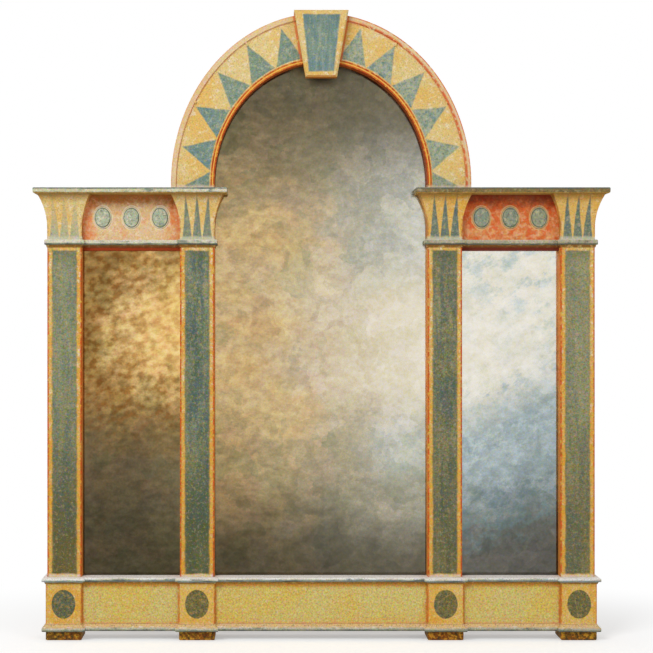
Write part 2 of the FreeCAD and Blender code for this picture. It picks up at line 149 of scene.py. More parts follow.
class Socket:
    """One output of a node, usable in sums."""

    def __init__(self, tree, socket):
        self.tree = tree
        self.socket = socket

    def node(self, kind, settings, inputs, output=0):
        made = self.tree.nodes.new(kind)
        for name, value in settings.items():
            setattr(made, name, value)
        for name, value in inputs.items():
            if isinstance(value, Socket):
                self.tree.links.new(value.socket, made.inputs[name])
            else:
                made.inputs[name].default_value = value
        return Socket(self.tree, made.outputs[output]) if made.outputs else made

    def math(self, operation, first, second=0.0):
        return self.node("ShaderNodeMath", {"operation": operation}, {0: first, 1: second})

    def __add__(self, other):
        return self.math("ADD", self, other)

    def __radd__(self, other):
        return self.math("ADD", other, self)

    def __sub__(self, other):
        return self.math("SUBTRACT", self, other)

    def __rsub__(self, other):
        return self.math("SUBTRACT", other, self)

    def __mul__(self, other):
        return self.math("MULTIPLY", self, other)

    def __rmul__(self, other):
        return self.math("MULTIPLY", other, self)

    def __truediv__(self, other):
        return self.math("DIVIDE", self, other)

    def __pow__(self, other):
        return self.math("POWER", self, other)

    def __and__(self, other):
        return self.math("MINIMUM", self, other)

    def __or__(self, other):
        return self.math("MAXIMUM", self, other)

    def __abs__(self):
        return self.math("ABSOLUTE", self)

    def fade(self, start, stop):
        """0 at start, 1 at stop, with a soft run between them."""
        settings = {"interpolation_type": "SMOOTHSTEP", "clamp": True}
        return self.node("ShaderNodeMapRange", settings, {"Value": self, "From Min": start, "From Max": stop})

    def mix(self, under, over, blend="MIX"):
        """The colour over on the colour under, where this mask is 1."""
        settings = {"data_type": "RGBA", "blend_type": blend}
        return self.node("ShaderNodeMix", settings, {0: self, 6: under, 7: over}, 2)

    def stretched(self, along):
        """A place with each axis multiplied, so that a grain runs along the smallest one."""
        return self.node("ShaderNodeVectorMath", {"operation": "MULTIPLY"}, {0: self, 1: along})

    def eased(self, times, plus):
        """A colour or place multiplied and raised, part by part."""
        return self.node("ShaderNodeVectorMath", {"operation": "MULTIPLY_ADD"}, {0: self, 1: times, 2: plus})

    def turned(self, angles):
        return self.node("ShaderNodeMapping", {}, {"Vector": self, "Rotation": angles})

    def noise(self, scale, detail=2.0, roughness=0.5):
        inputs = {"Vector": self, "Scale": scale, "Detail": detail, "Roughness": roughness}
        return self.node("ShaderNodeTexNoise", {}, inputs, "Fac")

    def bump(self, strength, distance):
        """A surface that is raised where this value is high."""
        inputs = {"Height": self, "Strength": strength, "Distance": distance}
        return self.node("ShaderNodeBump", {}, inputs, "Normal")

    def split(self):
        parts = self.node("ShaderNodeSeparateXYZ", {}, {0: self}).socket.node
        return [Socket(self.tree, out) for out in parts.outputs]


def tone(red, green, blue):
    """A paint chip in 0-255 values, as the linear colour that a shader needs."""
    chips = [c / 255 for c in (red, green, blue)]
    return tuple(c / 12.92 if c <= 0.04045 else ((c + 0.055) / 1.055) ** 2.4 for c in chips) + (1.0,)


def new_finish(name):
    """An empty material and its Object coordinates."""
    material = bpy.data.materials.new(name)
    material.use_nodes = True
    material.node_tree.nodes.clear()
    place = material.node_tree.nodes.new("ShaderNodeTexCoord").outputs["Object"]
    return material, Socket(material.node_tree, place)


def principled(place, inputs):
    """Feeds a Principled shader and joins it to the material's output."""
    shader = place.node("ShaderNodeBsdfPrincipled", {}, inputs)
    place.node("ShaderNodeOutputMaterial", {}, {"Surface": shader})


print("a mid grey chip is", [round(v, 3) for v in tone(128, 128, 128)])

# %% [markdown]
# ## Floor and surround
# The world is white for the camera, for reflections and through glass, and gives a gentler even light to
# everything else. The floor is a pale matt surface that takes the object's shadow. Seen by the camera and
# in reflections it is lifted a little near the feet, and runs out into the white of the surround.

# %% White world and pale floor
world = bpy.data.worlds.new("white_surround")
world.use_nodes = True
world.node_tree.nodes.clear()


def looked_at(tree):
    """1 for a ray from the camera, from a reflection or through glass."""
    rays = tree.nodes.new("ShaderNodeLightPath").outputs
    names = ("Is Camera Ray", "Is Glossy Ray", "Is Transmission Ray")
    eye, gloss, glass = (Socket(tree, rays[name]) for name in names)
    return eye | gloss | glass


white_light = (1, 1, 1, 1)
even_light = 0.38
seen = looked_at(world.node_tree)
strength = seen * (1 - even_light) + even_light
sky = seen.node("ShaderNodeBackground", {}, {"Color": white_light, "Strength": strength})
seen.node("ShaderNodeOutputWorld", {}, {"Surface": sky})
scene.world = world

floor_paper, place = new_finish("pale_floor")
seen = looked_at(floor_paper.node_tree)
x, y, z = place.split()
away = ((x * x * 0.35 + y * y) ** 0.5).fade(0.25, 0.95)
paper = place.node("ShaderNodeBsdfDiffuse", {}, {"Color": (0.86, 0.86, 0.85, 1)})
glow = place.node("ShaderNodeEmission", {}, {"Color": white_light, "Strength": seen * 0.36})
near = place.node("ShaderNodeAddShader", {}, {0: paper, 1: glow})
white = place.node("ShaderNodeEmission", {}, {"Color": white_light, "Strength": 1.0})
both = place.node("ShaderNodeMixShader", {}, {0: seen * away, 1: near, 2: white})
place.node("ShaderNodeOutputMaterial", {}, {"Surface": both})
floor.data.materials.append(floor_paper)
print("studio surround ready")

# %% [markdown]
# ## Sponged and worn paint
# The frame is painted in several thin coats, dabbed with a sponge and rubbed back. Close up that is three
# sizes of unevenness: clouds as wide as a hand, dabs of about a centimetre and specks of two or three
# millimetres. One recipe mixes four chips by these three noises, and dabs and specks raise the paint a
# little. Faces that look to the wall were never painted, so they show bare wood.

# %% Paint recipe


def weathering(place):
    """The noises of the clouds, the dabs and the specks."""
    return place.noise(11.0, 3.0), place.noise(85.0, 3.0, 0.6), place.noise(300.0, 1.0)


def paint_start(name):
    """A new paint: the material, its place, its three noises, and the place as x, y and z."""
    material, place = new_finish(name)
    return material, place, weathering(place), place.split()


def flecked(place, colour, strength):
    """Fine flecks of other hues, as thin coats of paint show through each other."""
    inputs = {"Vector": place, "Scale": 230.0, "Detail": 2.0, "Roughness": 0.7}
    hues = place.node("ShaderNodeTexNoise", {}, inputs, "Color").eased((1.6, 1.1, 2.6), (-0.30, -0.05, -0.80))
    settings = {"data_type": "RGBA", "blend_type": "OVERLAY"}
    return place.node("ShaderNodeMix", settings, {0: strength, 6: colour, 7: hues}, 2)


def sponged(texture, ground, warm, pale, dark):
    """Four chips, mixed by the three noises."""
    cloud, dab, speck = texture
    colour = cloud.fade(0.40, 0.64).mix(ground, warm)
    colour = (dab.fade(0.50, 0.68) * 0.75).mix(colour, pale)
    return (speck.fade(0.53, 0.68) * 0.55).mix(colour, dark)


def chipped(place, colour, pale, dark, strength=0.6):
    """Small chips down to a paler coat, and stains of a darker one."""
    chip = place.noise(120.0, 3.0, 0.75)
    colour = (chip.fade(0.54, 0.62) * strength).mix(colour, pale)
    return (chip.fade(0.45, 0.38) * strength).mix(colour, dark)


def facing(place):
    """The surface's direction, as x, y and z."""
    return place.node("ShaderNodeNewGeometry", {}, {}, "Normal").split()


def bare_wood(place, along):
    """Pale pine with its grain along the smallest factor of along."""
    grain = place.stretched(along).noise(70.0, 4.0, 0.6)
    bands = place.stretched(along).noise(9.0, 2.0)
    colour = bands.fade(0.35, 0.65).mix(tone(196, 160, 112), tone(176, 136, 90))
    return (grain.fade(0.48, 0.66) * 0.6).mix(colour, tone(142, 104, 66))


def paint_coat(material, place, colour, texture, lift=0.0007, flecks=0.42):
    """Finishes a painted material: bare wood on the wall side, bump and a dry sheen."""
    dab, speck = texture[1:]
    colour = flecked(place, colour, flecks)
    rear = facing(place)[1].fade(0.55, 0.75)
    colour = rear.mix(colour, bare_wood(place, (1.0, 1.0, 0.06)))
    raised = (dab * 0.7 + speck * 0.3).bump(0.5, lift)
    sheen = {"Roughness": 0.78 - dab * 0.3, "Specular IOR Level": 0.16}
    principled(place, {"Base Color": colour, "Normal": raised, **sheen})
    print("paint", material.name, "nodes", len(material.node_tree.nodes))
    return material


print("a sponged paint mixes 4 chips by 3 noises")

# %% A painter's measures


def post_distance(x):
    """How far a point is, sideways, from the middle line of the nearest pilaster."""
    return abs(abs(x) - inner_line) & abs(abs(x) - outer_line)


def right_wing(x):
    """0 on the left wing and 1 on the right one."""
    return x.fade(-0.1, 0.1)


def wandering(place, scale, width):
    """A small shift to and fro, which makes a painted edge waver as a hand does."""
    return (place.noise(scale, 2.0) - 0.5) * width


def oval_reach(across, up, wide, tall):
    """0 at the middle of an upright oval and 1 at its edge."""
    return ((across / wide) ** 2.0 + (up / tall) ** 2.0) ** 0.5


print("middle line of a wing at", round(wing_line, 4))

# %% [markdown]
# ## Paint chips
# The maker used few colours: a creamy ochre, a blue-green laid over it, an iron red that shows on the
# arrises, and the greyed green of old copper on the mouldings. The main ones are named here.

# %% The chips
ochre = tone(219, 194, 132)
ochre_warm = tone(222, 182, 100)
ochre_pale = tone(231, 214, 172)
ochre_dark = tone(178, 146, 88)
beam_ochre = tone(211, 191, 114)
beam_warm = tone(216, 186, 92)
plinth_ochre = tone(221, 182, 96)
plinth_warm = tone(224, 164, 62)
green = tone(128, 146, 126)
green_blue = tone(112, 138, 134)
green_pale = tone(164, 174, 150)
green_dark = tone(88, 102, 88)
iron_red = tone(196, 84, 30)
orange = tone(220, 132, 44)
amber = tone(226, 166, 66)
deep_red = tone(128, 52, 18)
pale_worn = tone(222, 212, 188)
pink_worn = tone(226, 190, 160)
brown = tone(120, 84, 42)
slate_green = tone(102, 112, 104)
print("chips mixed")

# %% [markdown]
# ## The arch
# A row of blue-green triangles stands on the inner edge and points outwards, like a simple sunburst. They
# could be cut as separate faces, but paint has soft, slightly wandering edges, so the pattern is worked out
# from the place on the oval: its angle from the crown and its distance from the middle, with the height
# squeezed so that the oval becomes a circle. The rim is rubbed pink and the inner bead is iron red.

# %% Arch paint
wedge_low, wedge_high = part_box("keystone")
wedge_foot_half = 0.0405
first_ray, ray_pitch = 16.2, 15.1
ray_foot, ray_tip = 0.2908, 0.3705
ray_slope = 0.0345 / 0.078
rim_edge, rim_arris = 0.3765, 0.3877
bead_edge, bead_crest, bead_arris = 0.2885, 0.2822, 0.2779


def wedge_half(z):
    """Half the width of the keystone at a height."""
    slope = (wedge_high.x - wedge_foot_half) / (wedge_high.z - wedge_low.z)
    return wedge_foot_half + (z - wedge_low.z) * slope


def arch_finish():
    material, place, texture, (x, y, z) = paint_start("arch_paint")
    dab = texture[1]
    squeeze = oval_wide / oval_tall
    up = (z - oval_centre) * squeeze
    wander = wandering(place, 38.0, 0.010)
    radius = (x * x + up * up) ** 0.5
    angle = place.math("ARCTAN2", abs(x), up) * (180 / math.pi) + wander * 60
    ground = sponged(texture, ochre, ochre_warm, ochre_pale, ochre_dark)
    sunburst = sponged(texture, green, green_blue, green_pale, green_dark)
    sunburst = (x.fade(0.0, 0.10) * dab.fade(0.34, 0.54) * 0.5).mix(sunburst, tone(182, 180, 150))
    sunburst = chipped(place, sunburst, tone(172, 174, 138), tone(90, 112, 106), 0.5)
    turn = (place.math("FRACT", (angle - first_ray) / ray_pitch + 0.5) - 0.5) * math.radians(ray_pitch)
    along = radius * place.math("COSINE", turn)
    across = abs(radius * place.math("SINE", turn))
    ray = ((ray_tip - along) * ray_slope - across + wander * 0.15).fade(-0.0022, 0.0024)
    ray = ray & (radius + wander * 0.2).fade(ray_foot - 0.0008, ray_foot + 0.0008)
    colour = ray.mix(ground, sunburst)
    rim = sponged(texture, tone(222, 198, 152), tone(220, 186, 134), pink_worn, tone(204, 164, 116))
    on_rim = (radius + wander * 0.15).fade(rim_edge - 0.001, rim_edge + 0.001)
    colour = on_rim.mix(colour, rim)
    fresh = x.fade(-0.05, 0.16)
    from_rim = abs(radius + wander * 0.15 - fresh * 0.0024 - rim_edge)
    rim_line = from_rim.fade(0.0026 + fresh * 0.0024, 0.0008)
    rim_line = rim_line | radius.fade(rim_arris - 0.0011, rim_arris + 0.0011)
    worn = dab.fade(0.34, 0.52) * (0.55 + fresh * 0.4)
    colour = (rim_line * worn).mix(colour, fresh.mix(tone(222, 146, 98), tone(208, 100, 46)))
    bead = sponged(texture, tone(198, 94, 30), tone(186, 70, 20), amber, deep_red)
    on_bead = (radius + wander * 0.1).fade(bead_edge, bead_edge - 0.0017)
    colour = on_bead.mix(colour, bead)
    # Painted highlight: a pale yellow line along the crest of the inner bead.
    painted_bead_highlight = abs(radius - bead_crest).fade(0.0022, 0.0006)
    colour = (painted_bead_highlight * 0.85).mix(colour, tone(238, 186, 84))
    soffit = radius.fade(bead_arris, bead_arris - 0.0007)
    colour = (soffit * 0.8).mix(colour, tone(150, 66, 22))
    foot = (z + wander).fade(arch_low.z + 0.012, arch_low.z + 0.002)
    colour = (foot * 0.7).mix(colour, tone(232, 208, 184))
    beside = abs(x) - wedge_half(z) + wander * 0.3
    joint = beside.fade(0.0072, 0.0048) * radius.fade(0.284, 0.290)
    colour = (joint * dab.fade(0.28, 0.46) * 0.8).mix(colour, tone(206, 104, 44))
    return paint_coat(material, place, colour, texture)


arch_paint = arch_finish()

# %% [markdown]
# ## The keystone
# The keystone is a wedge with a green panel inside an ochre border, which is broad at the head and narrow
# at the foot. Its sides slope, so the border is measured from the sloping edge: the half width at each
# height, less the border there, less the distance from the middle.

# %% Keystone paint


def keystone_finish():
    material, place, texture, (x, y, z) = paint_start("keystone_paint")
    wander = wandering(place, 45.0, 0.004)
    border_foot, border_slope = 0.0098, 0.062
    border = border_foot + (z - wedge_low.z) * border_slope
    edge = wedge_half(z) - border - abs(x) + wander
    ground = sponged(texture, ochre, ochre_warm, ochre_pale, ochre_dark)
    panel = sponged(texture, tone(122, 143, 130), tone(108, 136, 138), tone(158, 166, 142), green_dark)
    strokes = place.stretched((1.0, 1.0, 0.14)).noise(120.0, 3.0, 0.6)
    panel = (strokes.fade(0.52, 0.62) * 0.45).mix(panel, tone(92, 116, 116))
    panel = (strokes.fade(0.48, 0.38) * 0.40).mix(panel, tone(160, 168, 144))
    shaded = (z + wander * 4).fade(wedge_high.z - 0.06, wedge_high.z - 0.02)
    panel = (shaded * 0.30).mix(panel, tone(84, 110, 104))
    inside = edge.fade(-0.0026, 0.0026)
    inside = inside & (z + wander).fade(wedge_low.z + 0.0110, wedge_low.z + 0.0160)
    inside = inside & (z + wander).fade(wedge_high.z - 0.0095, wedge_high.z - 0.014)
    colour = inside.mix(ground, panel)
    flank = y.fade(wedge_low.y + 0.006, wedge_low.y + 0.009)
    colour = (flank * 0.8).mix(colour, tone(214, 166, 70))
    flank_line = (y + wander).fade(-0.026, -0.018)
    colour = (flank_line * 0.8).mix(colour, iron_red)
    under = facing(place)[2].fade(-0.6, -0.8)
    colour = under.mix(colour, tone(206, 122, 40))
    return paint_coat(material, place, colour, texture)


keystone_paint = keystone_finish()

# %% [markdown]
# ## The pilasters
# Each pilaster has one long green panel inside an ochre border, and its arrises and sides are rubbed
# through to the iron red below. Stretching the noise along the height gives the long strokes of the brush.
# The wing on the right has taken on more brown, so the green turns olive there.

# %% Pilaster paint
panel_half = 0.0313


def pilaster_finish():
    material, place, texture, (x, y, z) = paint_start("pilaster_paint")
    dab = texture[1]
    across = post_distance(x)
    wander = wandering(place, 40.0, 0.006)
    strokes = place.stretched((1.0, 1.0, 0.10)).noise(75.0, 3.0)
    border = sponged(texture, tone(216, 180, 104), tone(218, 162, 70), ochre_pale, tone(182, 138, 70))
    border = (z.fade(0.80, 0.40) * 0.55).mix(border, tone(214, 156, 50))
    greens = tone(120, 128, 100), tone(100, 114, 98), tone(154, 156, 122), tone(66, 76, 62)
    olives = tone(128, 124, 90), tone(112, 116, 90), tone(156, 150, 112), tone(68, 68, 46)
    right_hand = right_wing(x)
    panel = right_hand.mix(sponged(texture, *greens), sponged(texture, *olives))
    panel = (strokes.fade(0.50, 0.62) * 0.55).mix(panel, tone(70, 90, 90))
    panel = (strokes.fade(0.46, 0.36) * 0.45).mix(panel, tone(150, 142, 98))
    outer = abs(x).fade(0.45, 0.55) * (0.4 + z.fade(0.3, 0.8) * 0.6)
    panel = (outer * (0.34 + right_hand * 0.22)).mix(panel, tone(162, 158, 120))
    dusk = (x.fade(-0.50, -0.40) * (1.0 - right_hand)).mix(tone(98, 88, 46), tone(82, 87, 54))
    panel = (z.fade(0.66, 0.22) * (0.92 - right_hand * 0.40)).mix(panel, dusk)
    smoke = place.stretched((1.0, 1.0, 0.45)).noise(13.0, 4.0, 0.6)
    panel = (smoke.fade(0.48, 0.66) * (0.46 - outer * 0.28)).mix(panel, tone(76, 92, 84))
    panel = (smoke.fade(0.50, 0.36) * (0.10 + z.fade(0.3, 0.7) * 0.22)).mix(panel, tone(158, 154, 114))
    stain = right_hand.mix(tone(66, 86, 84), tone(72, 76, 54))
    panel = chipped(place, panel, tone(168, 160, 116), stain, 0.38)
    # Painted shade under the capital: the top of each green panel is darkened.
    head = (z + wander * 3).fade(post_head - 0.055, post_head - 0.008)
    panel = (head * 0.4).mix(panel, tone(78, 84, 62))
    inside = (across + wander).fade(panel_half + 0.002, panel_half - 0.001)
    inside = inside & (z + wander).fade(post_foot + 0.005, post_foot + 0.011)
    inside = inside & (z + wander).fade(post_head - 0.006, post_head - 0.011)
    edging = abs(across + wander - panel_half).fade(0.004, 0.001)
    colour = inside.mix(border, panel)
    colour = (edging * 0.35).mix(colour, tone(150, 128, 70))
    foot = (z + wander * 2).fade(post_foot + 0.010, post_foot + 0.003)
    colour = (foot * 0.7).mix(colour, pale_worn)
    arris = (across + wander * 0.5).fade(post_half - 0.0065, post_half - 0.0020)
    colour = (arris * dab.fade(0.30, 0.54)).mix(colour, iron_red)
    side = abs(facing(place)[0]).fade(0.75, 0.95)
    edge = sponged(texture, tone(222, 146, 66), tone(212, 116, 48), amber, tone(176, 84, 32))
    colour = side.mix(colour, edge)
    # Painted light: the back of each side face, next to the glass, is painted paler to lift its shade.
    painted_light_by_glass = side & y.fade(-0.002, 0.012)
    colour = (painted_light_by_glass * 0.45).mix(colour, tone(212, 146, 76))
    return paint_coat(material, place, colour, texture, flecks=0.7)


pilaster_paint = pilaster_finish()

# %% [markdown]
# ## The capitals
# A capital is a plain flared block with three tall green leaves painted on it, broad at the foot and drawn
# out to a point. The leaves repeat at one spacing, so the distance to the nearest leaf's middle line is
# enough to draw all three. The flared sides are warmer, and the foot is rubbed pale.

# %% Capital paint
leaf_pitch, leaf_half, leaf_tall = 0.0262, 0.0124, 0.117


def capital_finish():
    material, place, texture, (x, y, z) = paint_start("capital_paint")
    dab = texture[1]
    across = post_distance(x)
    wander = wandering(place, 60.0, 0.003)
    spread = 1.0 + z.fade(capital_foot + 0.03, capital_head) * 0.12
    leaf = abs(across / spread) & abs(across / spread - leaf_pitch)
    rise = (z - capital_foot - 0.003) / leaf_tall
    on_leaf = (leaf_half * (1.0 - rise) - leaf + wander).fade(-0.0014, 0.0018)
    creams = tone(224, 197, 132), tone(224, 184, 104), ochre_pale, ochre_dark
    ambers = tone(220, 178, 98), tone(224, 168, 68), tone(228, 198, 136), tone(176, 132, 64)
    ground = right_wing(x).mix(sponged(texture, *creams), sponged(texture, *ambers))
    leaves = sponged(texture, tone(110, 122, 106), tone(94, 112, 110), tone(146, 150, 124), tone(68, 78, 66))
    faint = x.fade(-0.50, -0.56)
    leaves = (x.fade(0.1, -0.1) * 0.28).mix(leaves, tone(168, 166, 126))
    leaves = (faint * 0.5).mix(leaves, tone(200, 194, 158))
    leaves = chipped(place, leaves, tone(186, 174, 122), tone(78, 98, 98), 0.42)
    colour = (on_leaf * (1.0 - faint * rise.fade(-0.1, 0.9) * 0.72)).mix(ground, leaves)
    side = abs(facing(place)[0]).fade(0.45, 0.7)
    colour = (side * 0.8).mix(colour, sponged(texture, amber, orange, ochre_pale, tone(164, 90, 30)))
    brow = 0.0450 + z.fade(capital_foot + 0.035, capital_head + 0.01) * 0.028
    rim = (across - brow + wander).fade(-0.0052, -0.0012)
    colour = (rim * dab.fade(0.32, 0.56) * 0.7).mix(colour, tone(168, 98, 36))
    foot = (z + wander * 1.5).fade(capital_foot + 0.012, capital_foot + 0.003)
    colour = (foot * 0.75).mix(colour, tone(206, 202, 176))
    # Painted shade under the cornice: the top of each capital turns brown.
    head = (z + wander * 3).fade(capital_head - 0.026, capital_head - 0.002)
    colour = (head * 0.7).mix(colour, tone(146, 102, 38))
    return paint_coat(material, place, colour, texture)


capital_paint = capital_finish()

# %% [markdown]
# ## The friezes
# The friezes were a strong iron red. The left one has been rubbed back to a pinkish cream with red left at
# the ends, and the right one kept its colour. Both carry a painted shade that darkens them under the cornice.

# %% Frieze paint
button_low, button_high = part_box("patera_middle_right")
button_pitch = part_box("patera_outer_right")[0].x - button_low.x


def button_oval(x, z):
    """0 at the middle of the nearest patera, 1 at its edge."""
    along = abs(abs(x) - wing_line)
    across = along & abs(along - button_pitch)
    up = abs(z - (button_low.z + button_high.z) / 2)
    return oval_reach(across, up, (button_high.x - button_low.x) / 2, (button_high.z - button_low.z) / 2)


def frieze_finish():
    material, place, texture, (x, y, z) = paint_start("frieze_paint")
    right_hand = right_wing(x)
    patch = place.noise(30.0, 4.0, 0.65)
    crumb = place.noise(75.0, 3.0, 0.7)
    from_middle = abs(abs(x) - wing_line)
    creams = tone(220, 189, 145), tone(218, 178, 128), tone(232, 211, 174), tone(196, 148, 100)
    rubbed = sponged(texture, *creams)
    ends = (from_middle + (patch - 0.5) * 0.12).fade(0.070, 0.125)
    ends = ends * (0.50 + crumb.fade(0.40, 0.56) * 0.40)
    left = (ends | patch.fade(0.54, 0.68) * 0.5).mix(rubbed, tone(220, 116, 50))
    left = (crumb.fade(0.56, 0.66) * 0.5).mix(left, tone(222, 198, 156))
    red = sponged(texture, tone(212, 136, 80), tone(210, 112, 52), tone(222, 172, 124), tone(160, 70, 28))
    right = (patch.fade(0.44, 0.62) * 0.75).mix(red, tone(212, 82, 26))
    right = (crumb.fade(0.52, 0.62) * 0.65).mix(right, tone(224, 172, 122))
    middle = 1.085
    right = (z.fade(middle, middle + 0.050) * 0.5).mix(right, tone(216, 82, 18))
    low = z.fade(middle, middle - 0.045) * crumb.fade(0.40, 0.56)
    right = (low * 0.35).mix(right, tone(226, 182, 128))
    colour = right_hand.mix(left, right)
    # Painted shade under the cornice: the top of each frieze darkens, to brown on the left and deep red on
    # the right.
    ragged = z + (patch - 0.5) * 0.06 + (crumb - 0.5) * 0.04
    under = ragged.fade(capital_head - 0.041, capital_head - 0.004)
    painted_cornice_shade = right_hand.mix(tone(170, 98, 26), tone(102, 26, 14))
    colour = (under * (0.88 - right_hand * 0.14)).mix(colour, painted_cornice_shade)
    halo = abs(button_oval(x, z) - 1.095).fade(0.070, 0.030) * crumb.fade(0.30, 0.46)
    colour = (halo * 0.9).mix(colour, right_hand.mix(tone(230, 216, 184), tone(216, 180, 124)))
    # A deep red strip under the necking, darkened further as painted shade of the necking.
    lip = z.fade(post_head + 0.004, post_head - 0.001)
    colour = lip.mix(colour, right_hand.mix(tone(140, 50, 6), tone(104, 38, 18)))
    return paint_coat(material, place, colour, texture)


frieze_paint = frieze_finish()

# %% [markdown]
# ## Greyed green mouldings
# Cornices, neckings, the ledge and the bottom moulding share one idea: a green-grey fillet with a dark line
# along one edge, rubbed almost white along the other, and an ochre cove next to it. One recipe takes the
# heights of these parts above the foot of the profile, so each moulding gets its own order of tones.

# %% Moulding paint


def moulding_finish(name, node, face, cove, line, pale, top, darker_right):
    """face is a chip; cove, line and pale are a chip with the heights it runs between, in metres."""
    material, place, texture, (x, y, z) = paint_start(name)
    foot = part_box(node)[0].z
    level = z - foot + (place.noise(30.0, 3.0) - 0.5) * 0.0035
    rubbed = place.stretched((0.5, 1.0, 1.0)).noise(46.0, 4.0, 0.65)
    right_hand = x.fade(0.1, 0.3) * darker_right

    def band(part):
        low, high = part[1:]
        return level.fade(low - 0.0008, low + 0.0006) & level.fade(high + 0.0008, high - 0.0006)

    colour = sponged(texture, face, tone(146, 152, 132), tone(192, 190, 164), tone(88, 92, 80))
    colour = (rubbed.fade(0.46, 0.34) * 0.6).mix(colour, slate_green)
    whitish = sponged(texture, pale[0], pale_worn, tone(230, 224, 208), tone(176, 170, 148))
    colour = (band(pale) * rubbed.fade(0.30, 0.52) * 0.9).mix(colour, whitish)
    brownish = sponged(texture, tone(112, 94, 56), tone(128, 106, 58), tone(160, 146, 104), tone(60, 50, 32))
    colour = right_hand.mix(colour, brownish)
    colour = (band(line) * (0.55 + rubbed.fade(0.58, 0.40) * 0.45)).mix(colour, line[0])
    streak = place.stretched((0.22, 1.0, 1.0)).noise(70.0, 3.0, 0.6).fade(0.53, 0.62)
    colour = (band(line) * streak * 0.7).mix(colour, tone(66, 76, 78))
    hollow = sponged(texture, cove[0], cove[0], tone(206, 172, 110), brown)
    colour = band(cove).mix(colour, hollow)
    # Faces that look up get a pale coat: partly dust, partly painted light falling on the tops.
    upward = facing(place)[2].fade(0.55, 0.8) * (0.75 + rubbed.fade(0.30, 0.50) * 0.25)
    dust_and_top_light = sponged(texture, top, top, tone(244, 238, 230), tone(196, 186, 172))
    colour = (upward * (1.0 - right_hand * 0.5)).mix(colour, dust_and_top_light)
    over_plate = abs(abs(x) - wing_line).fade(0.1290, 0.1265)
    shade = level.fade(0.006, 0.003) & over_plate & z.fade(0.9, 0.95)
    colour = (shade * (1.0 - z.fade(1.10, 1.12)) * 0.75).mix(colour, tone(104, 44, 14))
    return paint_coat(material, place, colour, texture)


cornice_paint = moulding_finish(
    "cornice_paint", "cornice_right", tone(166, 170, 142), (tone(176, 138, 64), -0.010, 0.0025),
    (tone(84, 98, 98), 0.0116, 0.030), (tone(202, 196, 152), 0.0040, 0.0108), tone(160, 162, 142), 0.95)
necking_paint = moulding_finish(
    "necking_paint", "necking_right", tone(160, 160, 134), (tone(142, 98, 38), -0.010, 0.0066),
    (tone(82, 88, 76), 0.0066, 0.0098), (tone(214, 208, 184), 0.0118, 0.040), tone(216, 210, 190), 0.45)
ledge_paint = moulding_finish(
    "ledge_paint", "base_ledge", tone(178, 184, 172), (tone(166, 122, 52), -0.010, 0.0036),
    (tone(124, 136, 132), 0.0036, 0.0092), (tone(236, 240, 234), 0.0102, 0.040), tone(252, 248, 244), 0.10)
base_paint = moulding_finish(
    "bottom_moulding_paint", "base_moulding", tone(168, 168, 144), (tone(222, 188, 132), 0.0098, 0.040),
    (tone(100, 102, 88), -0.010, 0.0032), (tone(208, 204, 182), 0.0068, 0.0100), tone(216, 184, 134), 0.20)

# %% [markdown]
# ## The base
# The long beam and the plinth blocks are yellow ochre, the blocks a little more orange. Every block has a
# green oval, which is a distance from the block's middle, measured with the height squeezed, and thin red
# lines where block and beam meet. The feet are dark brown with flecks of gold.

# %% Beam, plinth and foot paints
disc_wide, disc_tall = 0.0305, 0.037


def beam_finish():
    material, place, texture, (x, y, z) = paint_start("beam_paint")
    dab = texture[1]
    wander = wandering(place, 50.0, 0.006)
    colour = sponged(texture, beam_ochre, beam_warm, tone(220, 200, 138), tone(176, 152, 84))
    seam = (post_distance(x) + wander).fade(0.0525, 0.0485)
    colour = (seam * dab.fade(0.30, 0.5) * 0.8).mix(colour, tone(212, 124, 44))
    foot = (z + wander).fade(plinth_foot + 0.007, plinth_foot + 0.002)
    colour = (foot * 0.6).mix(colour, tone(220, 156, 96))
    thread = abs(z + wander * 0.4 - plinth_foot - 0.012).fade(0.0016, 0.0005) * dab.fade(0.38, 0.56)
    colour = (thread * 0.6).mix(colour, tone(214, 142, 72))
    # Painted shade under the ledge: a brown band along the top of the beam.
    head = (z + wander).fade(plinth_head - 0.015, plinth_head - 0.003)
    colour = (head * 0.85).mix(colour, tone(186, 122, 34))
    return paint_coat(material, place, colour, texture, flecks=0.78)


def plinth_finish():
    material, place, texture, (x, y, z) = paint_start("plinth_paint")
    dab = texture[1]
    across = post_distance(x)
    wander = wandering(place, 60.0, 0.004)
    ground = sponged(texture, plinth_ochre, plinth_warm, tone(226, 200, 136), tone(190, 144, 70))
    middle = (plinth_foot + plinth_head) / 2
    oval = oval_reach(across, abs(z - middle), disc_wide, disc_tall) + wander * 8
    disc = sponged(texture, tone(116, 108, 66), tone(100, 104, 80), tone(156, 140, 84), tone(58, 54, 34))
    disc = chipped(place, disc, tone(166, 140, 76), tone(58, 70, 68))
    colour = oval.fade(1.03, 0.98).mix(ground, disc)
    line = (across + wander).fade(0.0425, 0.0455)
    colour = (line * dab.fade(0.34, 0.54) * 0.85).mix(colour, tone(208, 112, 36))
    foot = (z + wander).fade(plinth_foot + 0.006, plinth_foot + 0.001)
    colour = (foot * 0.5).mix(colour, tone(226, 192, 140))
    return paint_coat(material, place, colour, texture, flecks=0.78)


def foot_finish():
    material, place = new_finish("foot_paint")
    texture = weathering(place)
    flake = place.noise(105.0, 3.0, 0.75)
    colour = sponged(texture, tone(118, 78, 22), tone(136, 74, 14), tone(172, 126, 36), tone(58, 46, 20))
    colour = (flake.fade(0.50, 0.60) * 0.85).mix(colour, tone(206, 150, 44))
    colour = (flake.fade(0.46, 0.37) * 0.85).mix(colour, tone(56, 54, 30))
    return paint_coat(material, place, colour, texture, 0.0012)


beam_paint = beam_finish()
plinth_paint = plinth_finish()
foot_paint = foot_finish()

# %% [markdown]
# ## The paterae
# The ovals on the friezes are small turned buttons, green-grey in the middle, with a pale rubbed ring round
# the edge. The ring is again a distance from each button's own middle, and the three on a wing are evenly
# spaced, so the nearest of the three is found with two foldings of the line.

# %% Patera paint


